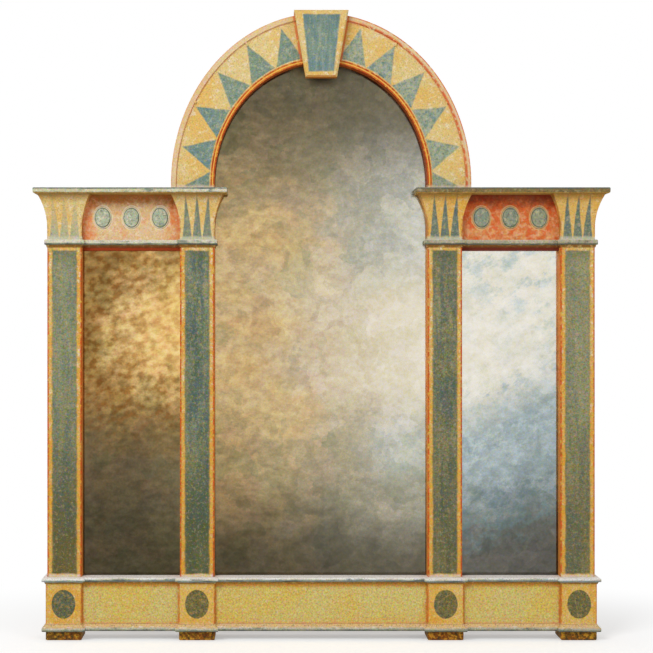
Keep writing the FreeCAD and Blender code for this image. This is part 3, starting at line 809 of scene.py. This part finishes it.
def patera_finish():
    material, place, texture, (x, y, z) = paint_start("patera_paint")
    oval = button_oval(x, z)
    smear = place.noise(70.0, 3.0, 0.7)
    right_hand = right_wing(x)
    left = sponged(texture, tone(176, 182, 154), tone(160, 172, 150), tone(214, 212, 184), tone(112, 120, 98))
    left = (smear.fade(0.54, 0.64) * 0.7).mix(left, tone(216, 212, 186))
    right = sponged(texture, tone(146, 150, 124), tone(132, 144, 128), tone(184, 180, 146), tone(88, 92, 72))
    right = (smear.fade(0.56, 0.66) * 0.6).mix(right, tone(186, 180, 146))
    colour = right_hand.mix(left, right)
    colour = (smear.fade(0.44, 0.36) * 0.6).mix(colour, tone(104, 114, 100))
    groove = abs(oval - 0.850).fade(0.060, 0.015)
    colour = (groove * 0.8).mix(colour, tone(92, 100, 82))
    ring = (oval + (smear - 0.5) * 0.12).fade(0.885, 0.925)
    colour = (ring * 0.85).mix(colour, right_hand.mix(tone(228, 216, 186), tone(196, 176, 132)))
    return paint_coat(material, place, colour, texture)


patera_paint = patera_finish()

# %% [markdown]
# ## Old silvered plates
# The plates are mirror glass with clouded, hand-tinted silvering. Their colour is partly that tint and partly
# a
# painted reflection: gold and brown on the left, tan in the middle, a pale cream on the right that turns
# blue-grey, and a painted dark reflection at the foot and under the crown. A mirror in shader terms is a
# fully metallic surface, and the tint is its base colour. Large soft fades set the tints of each plate, and
# noises of several sizes break them into the clouds and spots of the real backing.

# %% Tint of the middle plate
gold_patches = ((-0.13, 1.06, 0.14, 0.075), (-0.16, 0.82, 0.12, 0.040), (-0.12, 0.59, 0.15, 0.080))


def middle_tint(place, x, z, lift, side, billow, blotch):
    """Warm on the left, pale on the right, with painted dark reflections at the foot and under the crown."""
    cool = side.fade(-0.25, 0.30)
    # Low on the plate the tints turn dark: a painted dark reflection at the foot.
    warm_low = lift.fade(0.20, 0.50).mix(tone(84, 76, 57), tone(168, 143, 99))
    warm = lift.fade(0.46, 0.72).mix(warm_low, tone(193, 168, 123))
    cool_low = lift.fade(0.17, 0.46).mix(tone(98, 93, 79), tone(176, 174, 155))
    pale = lift.fade(0.42, 0.70).mix(cool_low, tone(226, 218, 199))
    colour = cool.mix(warm, pale)
    veil = abs(lift - 0.77).fade(0.06, 0.30) * abs(side - 0.03).fade(0.26, 0.06)
    colour = (veil * lift.fade(0.30, 0.5) * 0.5).mix(colour, tone(172, 160, 130))
    gild = place.stretched((0.35, 1.0, 1.0)).noise(7.0, 3.0).fade(0.48, 0.62) * lift.fade(0.44, 0.60)
    colour = (gild * x.fade(0.02, -0.20) * 0.5).mix(colour, tone(210, 176, 116))
    chilled = side.fade(-0.03, 0.16) * lift.fade(0.84, 1.04)
    colour = (chilled * 0.75).mix(colour, tone(184, 186, 176))
    # Painted dark reflection under the crown of the arch.
    late = side.fade(-0.1, 0.3) * lift.fade(1.36, 1.12) * 0.14
    crown = (lift - late).fade(0.90, 1.44)
    colour = crown.mix(colour, cool.mix(tone(100, 91, 68), tone(108, 102, 84)))
    for east, height, wide, tall in gold_patches:
        patch = oval_reach(abs(x - east), abs(z - height), wide, tall) + (billow - 0.5) * 2.0
        colour = (patch.fade(1.15, 0.45) * 0.42).mix(colour, tone(214, 182, 124))
    frost = oval_reach(abs(x - 0.20), abs(z - 0.49), 0.11, 0.09) + (blotch - 0.5) * 1.4
    return (frost.fade(1.2, 0.3) * 0.4).mix(colour, tone(194, 205, 202))


print("gold patches in the middle plate:", len(gold_patches))

# %% Tints of the side plates
glow_across, glow_height, glow_reach = -0.375, 0.80, 0.21


def left_tint(place, x, z, lift, billow):
    """A painted dark reflection at the foot, with a golden glow above and dabs of gold and umber in it."""
    # Dark low on the plate: a painted dark reflection at the foot.
    low = lift.fade(0.24, 0.50).mix(tone(78, 70, 52), tone(103, 90, 66))
    low = (x.fade(-0.50, -0.38) * lift.fade(0.18, 0.38) * 0.3).mix(low, tone(142, 126, 90))
    low = lift.fade(0.43, 0.72).mix(low, tone(150, 116, 64))
    glow = oval_reach(abs(x - glow_across), abs(z - glow_height), glow_reach, glow_reach)
    glow = glow + (billow - 0.5) * 1.2
    colour = glow.fade(1.25, 0.10).mix(low, tone(232, 192, 122))
    leaf = place.turned((0.0, 0.35, 0.0)).stretched((0.85, 1.0, 1.1)).noise(54.0, 2.2, 0.5)
    upper = lift.fade(0.44, 0.66)
    gold = glow.fade(1.3, 0.3).mix(tone(170, 136, 80), tone(248, 214, 150))
    colour = (leaf.fade(0.49, 0.64) * upper * 0.55).mix(colour, gold)
    umber = glow.fade(1.2, 0.2).mix(tone(126, 82, 34), tone(178, 126, 62))
    return (leaf.fade(0.51, 0.36) * upper * (0.42 + glow.fade(0.3, 1.1) * 0.40)).mix(colour, umber)


def right_tint(place, colour, x, z, lift, billow, strokes, in_right):
    """Cream above and blue-grey below, dark at the very foot as a painted reflection, with cold dabs that
    reach into the middle plate.
    """
    fall = lift - x.fade(0.36, 0.62) * 0.12
    ebb = lift - x.fade(0.36, 0.62) * 0.05
    # Lowest on the plate the blue-grey turns dark: a painted dark reflection at the foot.
    low = ebb.fade(0.20, 0.43).mix(tone(96, 94, 87), tone(158, 171, 172))
    colour = in_right.mix(colour, fall.fade(0.48, 0.67).mix(low, tone(229, 224, 209)))
    dabs = place.turned((0.0, 0.6, 0.0)).stretched((1.0, 1.0, 1.7)).noise(40.0, 4.0, 0.68)
    broken = (fall - 0.58 + (strokes - 0.5) * 0.3).fade(0.12, -0.02)
    chill = dabs.fade(0.46, 0.60) * broken * fall.fade(0.34, 0.50)
    colour = (chill * x.fade(0.15, 0.45) * 0.75).mix(colour, tone(180, 192, 190))
    mist = billow.fade(0.44, 0.62) * in_right * z.fade(0.60, 0.76)
    colour = (mist * 0.4).mix(colour, tone(208, 211, 201))
    breath = place.turned((0.0, 0.6, 0.0)).stretched((1.0, 1.0, 1.5)).noise(19.0, 5.0, 0.66)
    chill = breath.fade(0.47, 0.62) * (z + x * 0.6).fade(1.04, 1.22)
    colour = (chill * in_right * 0.8).mix(colour, tone(188, 200, 197))
    teal = dabs.fade(0.44, 0.58) * abs(ebb - 0.30).fade(0.10, 0.03)
    return (teal * in_right * 0.6).mix(colour, tone(104, 126, 126))


print("the left plate glows round", glow_across, glow_height)

# %% Spots, flakes and brush marks
flake_layers = ((11.0, 0.12), (27.0, 0.11))


def aged(place, colour, x, blotch, strokes, in_left, in_right):
    """Breaks a tint into blotches, spots, flakes and brush marks."""
    busy = 0.10 + x.fade(0.10, -0.27) * 0.11
    colour = busy.mix(colour, blotch.fade(0.28, 0.72), "OVERLAY")
    crisp = place.noise(95.0, 4.0, 0.72).fade(0.30, 0.70)
    colour = (0.08 + in_left * 0.03).mix(colour, crisp, "OVERLAY")
    swirl = place.node("ShaderNodeTexNoise", {}, {"Vector": place, "Scale": 14.0, "Detail": 5.0}, "Color")
    shuffled = swirl.eased((0.15, 0.15, 0.15), place)
    for scale, strength in flake_layers:
        inputs = {"Vector": shuffled, "Scale": scale}
        flakes = place.node("ShaderNodeTexVoronoi", {"feature": "F1"}, inputs, "Color")
        colour = (strength - in_left * 0.07).mix(colour, flakes.split()[0] * 0.8 + 0.1, "OVERLAY")
        stained = flakes.eased((0.36, 0.20, 0.36), (0.32, 0.40, 0.32))
        colour = (0.12 - x.fade(-0.05, 0.15) * 0.07).mix(colour, stained, "OVERLAY")
    brushed = (strokes - 0.5) * 1.6 + 0.5
    colour = (0.07 + in_right * 0.12).mix(colour, brushed, "OVERLAY")
    return flecked(place, colour, 0.22)


print("layers of flakes:", len(flake_layers))

# %% Mirror silvering and painted reflection
sight_half = inner_line - post_half
sight_rise = 0.316


def silvering_and_reflection_finish():
    material, place = new_finish("silvering_and_painted_reflection")
    x, y, z = place.split()
    drift = place.noise(4.0, 4.0, 0.6)
    billow = place.stretched((1.0, 1.0, 1.3)).noise(12.0, 5.0, 0.62)
    blotch = place.stretched((0.75, 1.0, 1.2)).noise(46.0, 4.0, 0.62)
    strokes = place.turned((0.0, 0.7, 0.0)).stretched((1.0, 1.0, 2.6)).noise(13.0, 5.0, 0.65)
    lift = z + (drift - 0.5) * 0.13 + (billow - 0.5) * 0.10
    side = x + (drift - 0.5) * 0.16 + (billow - 0.5) * 0.11
    in_left = x.fade(-0.330, -0.345)
    in_right = x.fade(0.345, 0.360)
    colour = middle_tint(place, x, z, lift, side, billow, blotch)
    colour = in_left.mix(colour, left_tint(place, x, z, lift, billow))
    colour = right_tint(place, colour, x, z, lift, billow, strokes, in_right)
    colour = aged(place, colour, x, blotch, strokes, in_left, in_right)

    up = (z - oval_centre) * (sight_half / sight_rise)
    rim = ((x * x + up * up) ** 0.5).fade(sight_half - 0.075, sight_half - 0.030) * abs(x).fade(0.11, 0.05)
    haze = 0.06 + blotch.fade(0.50, 0.72) * 0.12 + billow.fade(0.42, 0.62) * 0.06
    haze = haze + rim * up.fade(-0.02, 0.0) * 0.36
    ripple = place.noise(7.0, 1.0).bump(0.12, 0.002)
    principled(place, {"Base Color": colour, "Metallic": 1.0, "Roughness": haze, "Normal": ripple})
    print("silvering nodes", len(material.node_tree.nodes))
    return material


silvering_and_painted_reflection = silvering_and_reflection_finish()

# %% [markdown]
# ## Bare timber, backing board and zinc
# Behind the paint the frame is plain joiner's work: planed pine with its grain along each board, thin brown
# fibreboard behind the plates, and zinc-plated hangers. Grain direction matters, so upright and level boards
# have their own version of the same wood.

# %% Back-of-frame finishes


def pine_finish(name, along):
    material, place = new_finish(name)
    stain = place.noise(6.0, 3.0)
    colour = (stain.fade(0.5, 0.7) * 0.35).mix(bare_wood(place, along), tone(150, 116, 80))
    grain = place.stretched(along).noise(160.0, 3.0, 0.6)
    raised = grain.bump(0.4, 0.0006)
    principled(place, {"Base Color": colour, "Roughness": 0.62 + grain * 0.25, "Normal": raised})
    return material


def board_finish():
    material, place = new_finish("brown_fibreboard")
    fibre = place.noise(420.0, 2.0, 0.7)
    patch = place.noise(9.0, 3.0)
    colour = patch.fade(0.35, 0.65).mix(tone(142, 104, 68), tone(124, 88, 56))
    colour = (fibre.fade(0.5, 0.7) * 0.5).mix(colour, tone(96, 66, 42))
    raised = fibre.bump(0.3, 0.0003)
    principled(place, {"Base Color": colour, "Roughness": 0.55 + fibre * 0.3, "Normal": raised})
    return material


def zinc_finish():
    material, place = new_finish("zinc_plate")
    spangle = place.noise(260.0, 3.0, 0.6)
    tarnish = place.noise(45.0, 3.0)
    colour = spangle.fade(0.4, 0.6).mix(tone(176, 178, 180), tone(204, 205, 204))
    colour = (tarnish.fade(0.54, 0.7) * 0.5).mix(colour, tone(140, 132, 118))
    rough = 0.28 + tarnish.fade(0.45, 0.7) * 0.3
    principled(place, {"Base Color": colour, "Metallic": 1.0, "Roughness": rough})
    return material


upright_pine = pine_finish("upright_pine", (1.0, 1.0, 0.05))
level_pine = pine_finish("level_pine", (0.05, 1.0, 1.0))
fibreboard = board_finish()
zinc = zinc_finish()
print("back finishes:", upright_pine.name, level_pine.name, fibreboard.name, zinc.name)

# %% [markdown]
# ## Eased arrises
# Hand-finished boards never have knife edges. Each painted board is copied from the model, its loose
# triangles are merged into one skin and its flat faces joined, and a narrow Bevel with weighted normals
# rounds the arrises. The copy stands for the board it came from, in the same place and at the same size.

# %% Helpers for copies
usual_arris = 0.0009


def only(piece):
    """Selects one piece and nothing else."""
    bpy.ops.object.select_all(action="DESELECT")
    piece.select_set(True)
    bpy.context.view_layer.objects.active = piece


def dress(piece, finish):
    """Gives a piece one finish."""
    if not piece.material_slots:
        piece.data.materials.append(finish)
    for pocket in piece.material_slots:
        pocket.material = finish


def rounded(piece, width, segments, degrees):
    """Rounds the edges that are sharper than an angle."""
    only(piece)
    bevel = piece.modifiers.new("rounded_edges", "BEVEL")
    bevel.width = width
    bevel.segments = segments
    bevel.limit_method = "ANGLE"
    bevel.angle_limit = math.radians(degrees)
    bpy.ops.object.modifier_apply(modifier=bevel.name)


def stand_in(piece, node, finish, body="frame"):
    """Dresses a piece, puts it in a node's stead and lets it move with a body."""
    dress(piece, finish)
    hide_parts(node)
    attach(piece, body)


def eased_copy(node, finish, width=usual_arris):
    only(nodes[node])
    bpy.ops.object.duplicate()
    piece = bpy.context.object
    piece.name = "eased_" + node
    del piece["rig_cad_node"]
    bpy.ops.object.mode_set(mode="EDIT")
    bpy.ops.mesh.select_all(action="SELECT")
    bpy.ops.mesh.customdata_custom_splitnormals_clear()
    bpy.ops.mesh.remove_doubles(threshold=0.00001)
    bpy.ops.mesh.dissolve_limited(angle_limit=math.radians(0.6))
    bpy.ops.object.mode_set(mode="OBJECT")
    rounded(piece, width, 2, 35)
    bpy.ops.object.shade_smooth_by_angle(angle=math.radians(50))
    even = piece.modifiers.new("even_shading", "WEIGHTED_NORMAL")
    even.keep_sharp = True
    bpy.ops.object.modifier_apply(modifier=even.name)
    stand_in(piece, node, finish)
    return piece


print("the usual arris is eased by", usual_arris)

# %% Ease the painted boards
corners = [side + "_" + hand for side in ("inner", "outer") for hand in ("left", "right")]
eased = []
for corner in corners:
    eased.append(eased_copy("foot_" + corner, foot_paint, 0.0014))
    eased.append(eased_copy("plinth_block_" + corner, plinth_paint))
    eased.append(eased_copy("pilaster_" + corner, pilaster_paint))
    eased.append(eased_copy("capital_" + corner, capital_paint, 0.0006))
for hand in ("left", "right"):
    eased.append(eased_copy("necking_" + hand, necking_paint, 0.0005))
    eased.append(eased_copy("cornice_" + hand, cornice_paint, 0.0008))
    for part in ("crown", "haunch", "springer"):
        eased.append(eased_copy("arch_" + part + "_" + hand, arch_paint, 0.0006))
eased.append(eased_copy("keystone", keystone_paint, 0.0012))
eased.append(eased_copy("base_moulding", base_paint, 0.0005))
eased.append(eased_copy("base_ledge", ledge_paint, 0.0005))
eased.append(eased_copy("base_beam", beam_paint))
print("eased boards:", len(eased), "faces:", sum(len(p.data.polygons) for p in eased))

# %% [markdown]
# ## Turned paterae
# A patera starts as a short drum lying on the frieze. Its front face is inset and pushed forward to make the
# boss, inset again and lifted for a gentle dome, and the sharp rims are bevelled. The drum is squeezed to
# its oval first, so every inset keeps the oval's shape. One is modelled, and the other five are copies with
# their own mesh.

# %% Tools for a turned piece


def drum(vertices, radius, depth, place):
    """A short drum whose axis runs from front to back, with its place in its mesh."""
    bpy.ops.object.select_all(action="DESELECT")
    quarter_turn = (math.radians(90), 0, 0)
    bpy.ops.mesh.primitive_cylinder_add(
        vertices=vertices, radius=radius, depth=depth, location=place, rotation=quarter_turn)
    bpy.ops.object.transform_apply(location=True, rotation=True, scale=True)
    return bpy.context.object


def faces_where(piece, test):
    """Selects in edit mode the faces whose centre and normal pass a test, and nothing else."""
    bpy.ops.object.mode_set(mode="EDIT")
    bpy.ops.mesh.select_mode(type="FACE")
    bpy.ops.mesh.select_all(action="DESELECT")
    bpy.ops.object.mode_set(mode="OBJECT")
    for face in piece.data.polygons:
        face.select = test(face.center, face.normal)
    bpy.ops.object.mode_set(mode="EDIT")


def front_face(piece):
    """Selects the face that lies furthest forward and looks forward."""
    bpy.ops.object.mode_set(mode="OBJECT")
    ahead = [f for f in piece.data.polygons if f.normal.y < -0.9]
    best = min(ahead, key=lambda f: f.center.y)
    faces_where(piece, lambda centre, normal: (centre - best.center).length < 1e-6 and normal.y < -0.9)


def drawn(step):
    """Draws the selected section out along a straight line."""
    bpy.ops.mesh.extrude_region_move(TRANSFORM_OT_translate={"value": step})


def moved_copy(piece, name, step):
    """A copy with its own mesh, which is moved while its object stays at the origin."""
    only(piece)
    bpy.ops.object.duplicate()
    twin = bpy.context.object
    twin.name = name
    bpy.ops.object.mode_set(mode="EDIT")
    bpy.ops.mesh.select_all(action="SELECT")
    bpy.ops.transform.translate(value=step)
    bpy.ops.object.mode_set(mode="OBJECT")
    return twin


print("a patera measures", [round(v, 4) for v in button_high - button_low])

# %% Model one patera and copy it


def turned_patera(name, low, high):
    wide, tall = (high.x - low.x) / 2, (high.z - low.z) / 2
    middle = (low + high) / 2
    base, recess = 0.0030, 0.0006
    piece = drum(72, wide, base, (middle.x, high.y - base / 2, middle.z))
    piece.name = name
    bpy.ops.object.mode_set(mode="EDIT")
    bpy.ops.mesh.select_all(action="SELECT")
    bpy.ops.transform.resize(value=(1, 1, tall / wide), center_override=middle)
    front_face(piece)
    bpy.ops.mesh.inset(thickness=0.0030, depth=-recess)
    bpy.ops.mesh.inset(thickness=0.0007, depth=0.0)
    drawn((0, -(high.y - low.y - base - recess), 0))
    bpy.ops.mesh.inset(thickness=0.0060, depth=0.0008)
    bpy.ops.mesh.inset(thickness=0.0060, depth=0.0004)
    bpy.ops.object.mode_set(mode="OBJECT")
    rounded(piece, 0.0011, 3, 40)
    bpy.ops.object.shade_smooth_by_angle(angle=math.radians(40))
    return piece


buttons = [part + "_" + hand for hand in ("right", "left") for part in ("middle", "inner", "outer")]
paterae = [turned_patera("turned_patera_" + buttons[0], button_low, button_high)]
for button in buttons[1:]:
    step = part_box("patera_" + button)[0] - button_low
    paterae.append(moved_copy(paterae[0], "turned_patera_" + button, step))
for button, piece in zip(buttons, paterae):
    stand_in(piece, "patera_" + button, patera_paint)
print("paterae:", len(paterae), "faces each:", len(paterae[0].data.polygons))

# %% [markdown]
# ## Strap hangers
# On the back of each top rail sits a strap hanger. The D-ring is one length of wire: a circle is drawn out
# along the bar, swung round each bend, drawn out again for the legs and swung through half a turn for the
# bow, so the mesh follows the wire as the bending jig does. The strap is a strip of sheet with its end
# rolled into an eye round the bar, and the screws get a domed head with a slot.

# %% Bend a D-ring from wire
ring_low, ring_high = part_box("hanger_ring_right")
wire = (ring_high.y - ring_low.y) / 2
half = (ring_high.x - ring_low.x) / 2 - wire
axle = Vector((wing_line, (ring_low.y + ring_high.y) / 2, ring_high.z - wire))
bend = 0.004
bow = Vector((wing_line, axle.y, ring_low.z + wire + half))
leg = axle.z - bend - bow.z
reach = half - bend


def swung(centre, degrees, steps, axis=(0, 1, 0)):
    """Swings the selected section round an axis."""
    bpy.ops.mesh.spin(steps=steps, angle=math.radians(degrees), center=centre, axis=axis)


def joined_skin():
    """Joins meeting vertices of the piece in edit mode and turns all faces outwards."""
    bpy.ops.mesh.select_all(action="SELECT")
    bpy.ops.mesh.remove_doubles(threshold=0.00002)
    bpy.ops.mesh.normals_make_consistent(inside=False)
    bpy.ops.object.mode_set(mode="OBJECT")


bpy.ops.object.select_all(action="DESELECT")
bpy.ops.mesh.primitive_circle_add(vertices=16, radius=wire, location=axle - Vector((reach, 0, 0)),
                                  rotation=(0, math.radians(90), 0))
ring = bpy.context.object
ring.name = "bent_ring_right"
bpy.ops.object.transform_apply(location=True, rotation=True, scale=True)
bpy.ops.object.mode_set(mode="EDIT")
bpy.ops.mesh.select_mode(type="EDGE")
bpy.ops.mesh.select_all(action="SELECT")
drawn((2 * reach, 0, 0))
swung(axle + Vector((reach, 0, -bend)), -90, 6)
drawn((0, 0, -leg))
swung(bow, -180, 24)
drawn((0, 0, leg))
swung(axle + Vector((-reach, 0, -bend)), -90, 6)
joined_skin()
bpy.ops.object.shade_smooth()
print("ring faces", len(ring.data.polygons), "box", [round(v, 4) for v in ring.dimensions])

# %% Roll a strap from sheet
strap_low, strap_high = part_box("hanger_strap_right")
screws_low, screws_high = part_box("hanger_screws")
head_radius, hole_radius = 0.0039, 0.00225
screw_levels = [screws_high.z - head_radius, screws_low.z + head_radius]
gauge = 0.0016
sheet_y = strap_low.y + gauge / 2
eye_turn = 290
corner_round, burr = 0.0045, 0.00022


def picked(piece, test, kind):
    """Selects in edit mode the vertices that pass a test, and the edges between them."""
    bpy.ops.object.mode_set(mode="EDIT")
    bpy.ops.mesh.select_mode(type="VERT")
    bpy.ops.mesh.select_all(action="DESELECT")
    bpy.ops.object.mode_set(mode="OBJECT")
    for vertex in piece.data.vertices:
        vertex.select = test(vertex.co)
    bpy.ops.object.mode_set(mode="EDIT")
    bpy.ops.mesh.select_mode(type=kind)


def cut_by(piece, cutter):
    """Cuts a piece with another one, which is then thrown away."""
    only(piece)
    cut = piece.modifiers.new("cut", "BOOLEAN")
    cut.object = cutter
    cut.solver = "EXACT"
    bpy.ops.object.modifier_apply(modifier=cut.name)
    only(cutter)
    bpy.ops.object.delete()
    only(piece)


bpy.ops.object.select_all(action="DESELECT")
bpy.ops.mesh.primitive_plane_add(size=1.0, location=(wing_line, sheet_y, (strap_low.z + axle.z) / 2),
                                 rotation=(math.radians(90), 0, 0))
strap = bpy.context.object
strap.name = "rolled_strap_right"
strap.scale = (strap_high.x - strap_low.x, axle.z - strap_low.z, 1.0)
bpy.ops.object.transform_apply(location=True, rotation=True, scale=True)
picked(strap, lambda co: co.z < strap_low.z + 0.001, "VERT")
bpy.ops.mesh.bevel(offset=corner_round, segments=5, affect="VERTICES")
picked(strap, lambda co: co.z > axle.z - 0.0001, "EDGE")
swung(axle, eye_turn, 22, (1, 0, 0))
joined_skin()
sheet = strap.modifiers.new("sheet", "SOLIDIFY")
sheet.thickness = gauge
sheet.offset = 0.0
bpy.ops.object.modifier_apply(modifier=sheet.name)
for level in screw_levels:
    cut_by(strap, drum(24, hole_radius, 0.006, (wing_line, sheet_y, level)))
rounded(strap, burr, 2, 40)
bpy.ops.object.shade_smooth_by_angle(angle=math.radians(40))
print("strap faces", len(strap.data.polygons), "box", [round(v, 4) for v in strap.dimensions])

# %% Turn the screws
seat = strap_low.y + gauge
head_high = screws_high.y - seat
head_dome = 0.0015
shank, point = 0.0020, 0.0040
slot_cut = (0.0100, 0.0022, 0.0010)


def slotted_screw(x, z, angle):
    piece = drum(24, head_radius, head_high, (x, seat + head_high / 2, z))
    picked(piece, lambda co: co.y > seat + head_high / 2, "EDGE")
    bpy.ops.mesh.bevel(offset=head_dome, segments=4, affect="EDGES")
    faces_where(piece, lambda centre, normal: normal.y < -0.9)
    bpy.ops.mesh.inset(thickness=head_radius - shank, depth=0.0)
    drawn((0, -(seat - screws_low.y - point), 0))
    drawn((0, -point, 0))
    bpy.ops.transform.resize(value=(0.25, 1.0, 0.25), center_override=(x, seat, z))
    bpy.ops.object.mode_set(mode="OBJECT")
    bpy.ops.object.select_all(action="DESELECT")
    turn = (0, math.radians(angle), 0)
    bpy.ops.mesh.primitive_cube_add(size=1.0, location=(x, screws_high.y, z), rotation=turn)
    blade = bpy.context.object
    blade.scale = slot_cut
    bpy.ops.object.transform_apply(location=True, rotation=True, scale=True)
    cut_by(piece, blade)
    bpy.ops.object.shade_smooth_by_angle(angle=math.radians(35))
    return piece


def joined(pieces, name):
    """Joins pieces into one."""
    bpy.ops.object.select_all(action="DESELECT")
    for piece in pieces:
        piece.select_set(True)
    bpy.context.view_layer.objects.active = pieces[0]
    bpy.ops.object.join()
    whole = bpy.context.object
    whole.name = name
    return whole


spots = [(side * wing_line, level) for side in (1, -1) for level in screw_levels]
turns = (18, -40, 72, 6)
screws = [slotted_screw(x, z, turn) for (x, z), turn in zip(spots, turns)]
screws = joined(screws, "slotted_screws")
print("screw faces", len(screws.data.polygons))

# %% Copy the hangers to the other wing and fix them
to_left = (-2 * wing_line, 0, 0)
rings = {"right": ring, "left": moved_copy(ring, "bent_ring_left", to_left)}
straps = {"right": strap, "left": moved_copy(strap, "rolled_strap_left", to_left)}
for hand in ("left", "right"):
    stand_in(rings[hand], "hanger_ring_" + hand, zinc, "ring_" + hand)
    stand_in(straps[hand], "hanger_strap_" + hand, zinc)
stand_in(screws, "hanger_screws", zinc)
print("hangers fixed:", len(rings))

# %% [markdown]
# ## Brads
# The retaining beads are pinned with brads, whose flat heads show on the back. One head is a small drum with
# a soft rim, and it is copied along every bead at even steps.

# %% Brad heads along the beads
bead_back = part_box("retaining_beads_left")[1].y
brad_radius, brad_high, brad_rim = 0.0013, 0.0014, 0.00025
brad = drum(14, brad_radius, brad_high, (0, bead_back, 0))
rounded(brad, brad_rim, 2, 30)


def evenly(start, stop, count):
    """A number of places from start to stop, at even steps."""
    return [start + k * (stop - start) / (count - 1) for k in range(count)]


def bead_spots(node, inset=0.006, end_gap=0.05, side_gap=0.04):
    """Even places along the four or three straight beads of one bay."""
    low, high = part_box(node)
    rows = evenly(low.z + end_gap, min(high.z, capital_head) - end_gap, 6)
    spots = [(x, z) for x in (low.x + inset, high.x - inset) for z in rows]
    columns = evenly(low.x + side_gap, high.x - side_gap, 3 if high.x - low.x < 0.4 else 5)
    spots += [(x, low.z + inset) for x in columns]
    if node != "retaining_beads_centre":
        spots += [(x, high.z - inset) for x in columns]
    return spots


bays = ("left", "right", "centre")
places = [spot for bay in bays for spot in bead_spots("retaining_beads_" + bay)]
heads = [moved_copy(brad, "brad_head", (x, 0, z)) for x, z in places]
only(brad)
bpy.ops.object.delete()
brads = joined(heads, "brad_heads")
bpy.ops.object.shade_smooth_by_angle(angle=math.radians(40))
dress(brads, zinc)
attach(brads, "frame")
print("brads", len(places))

# %% [markdown]
# ## Finishes for the boards that stay as they are
# The friezes, plates and the joinery at the back already have their right shape, so the model's own pieces
# stay and only take a finish.

# %% Dress the remaining pieces
for hand in ("left", "right"):
    dress(nodes["frieze_board_" + hand], frieze_paint)
    dress(nodes["top_rail_" + hand], level_pine)
for corner in corners:
    dress(nodes["stile_" + corner], upright_pine)
dress(nodes["base_back_rail"], level_pine)
for bay in bays:
    dress(nodes["mirror_plate_" + bay], silvering_and_painted_reflection)
    dress(nodes["backboard_" + bay], fibreboard)
    dress(nodes["retaining_beads_" + bay], upright_pine)
print("dressed model pieces")
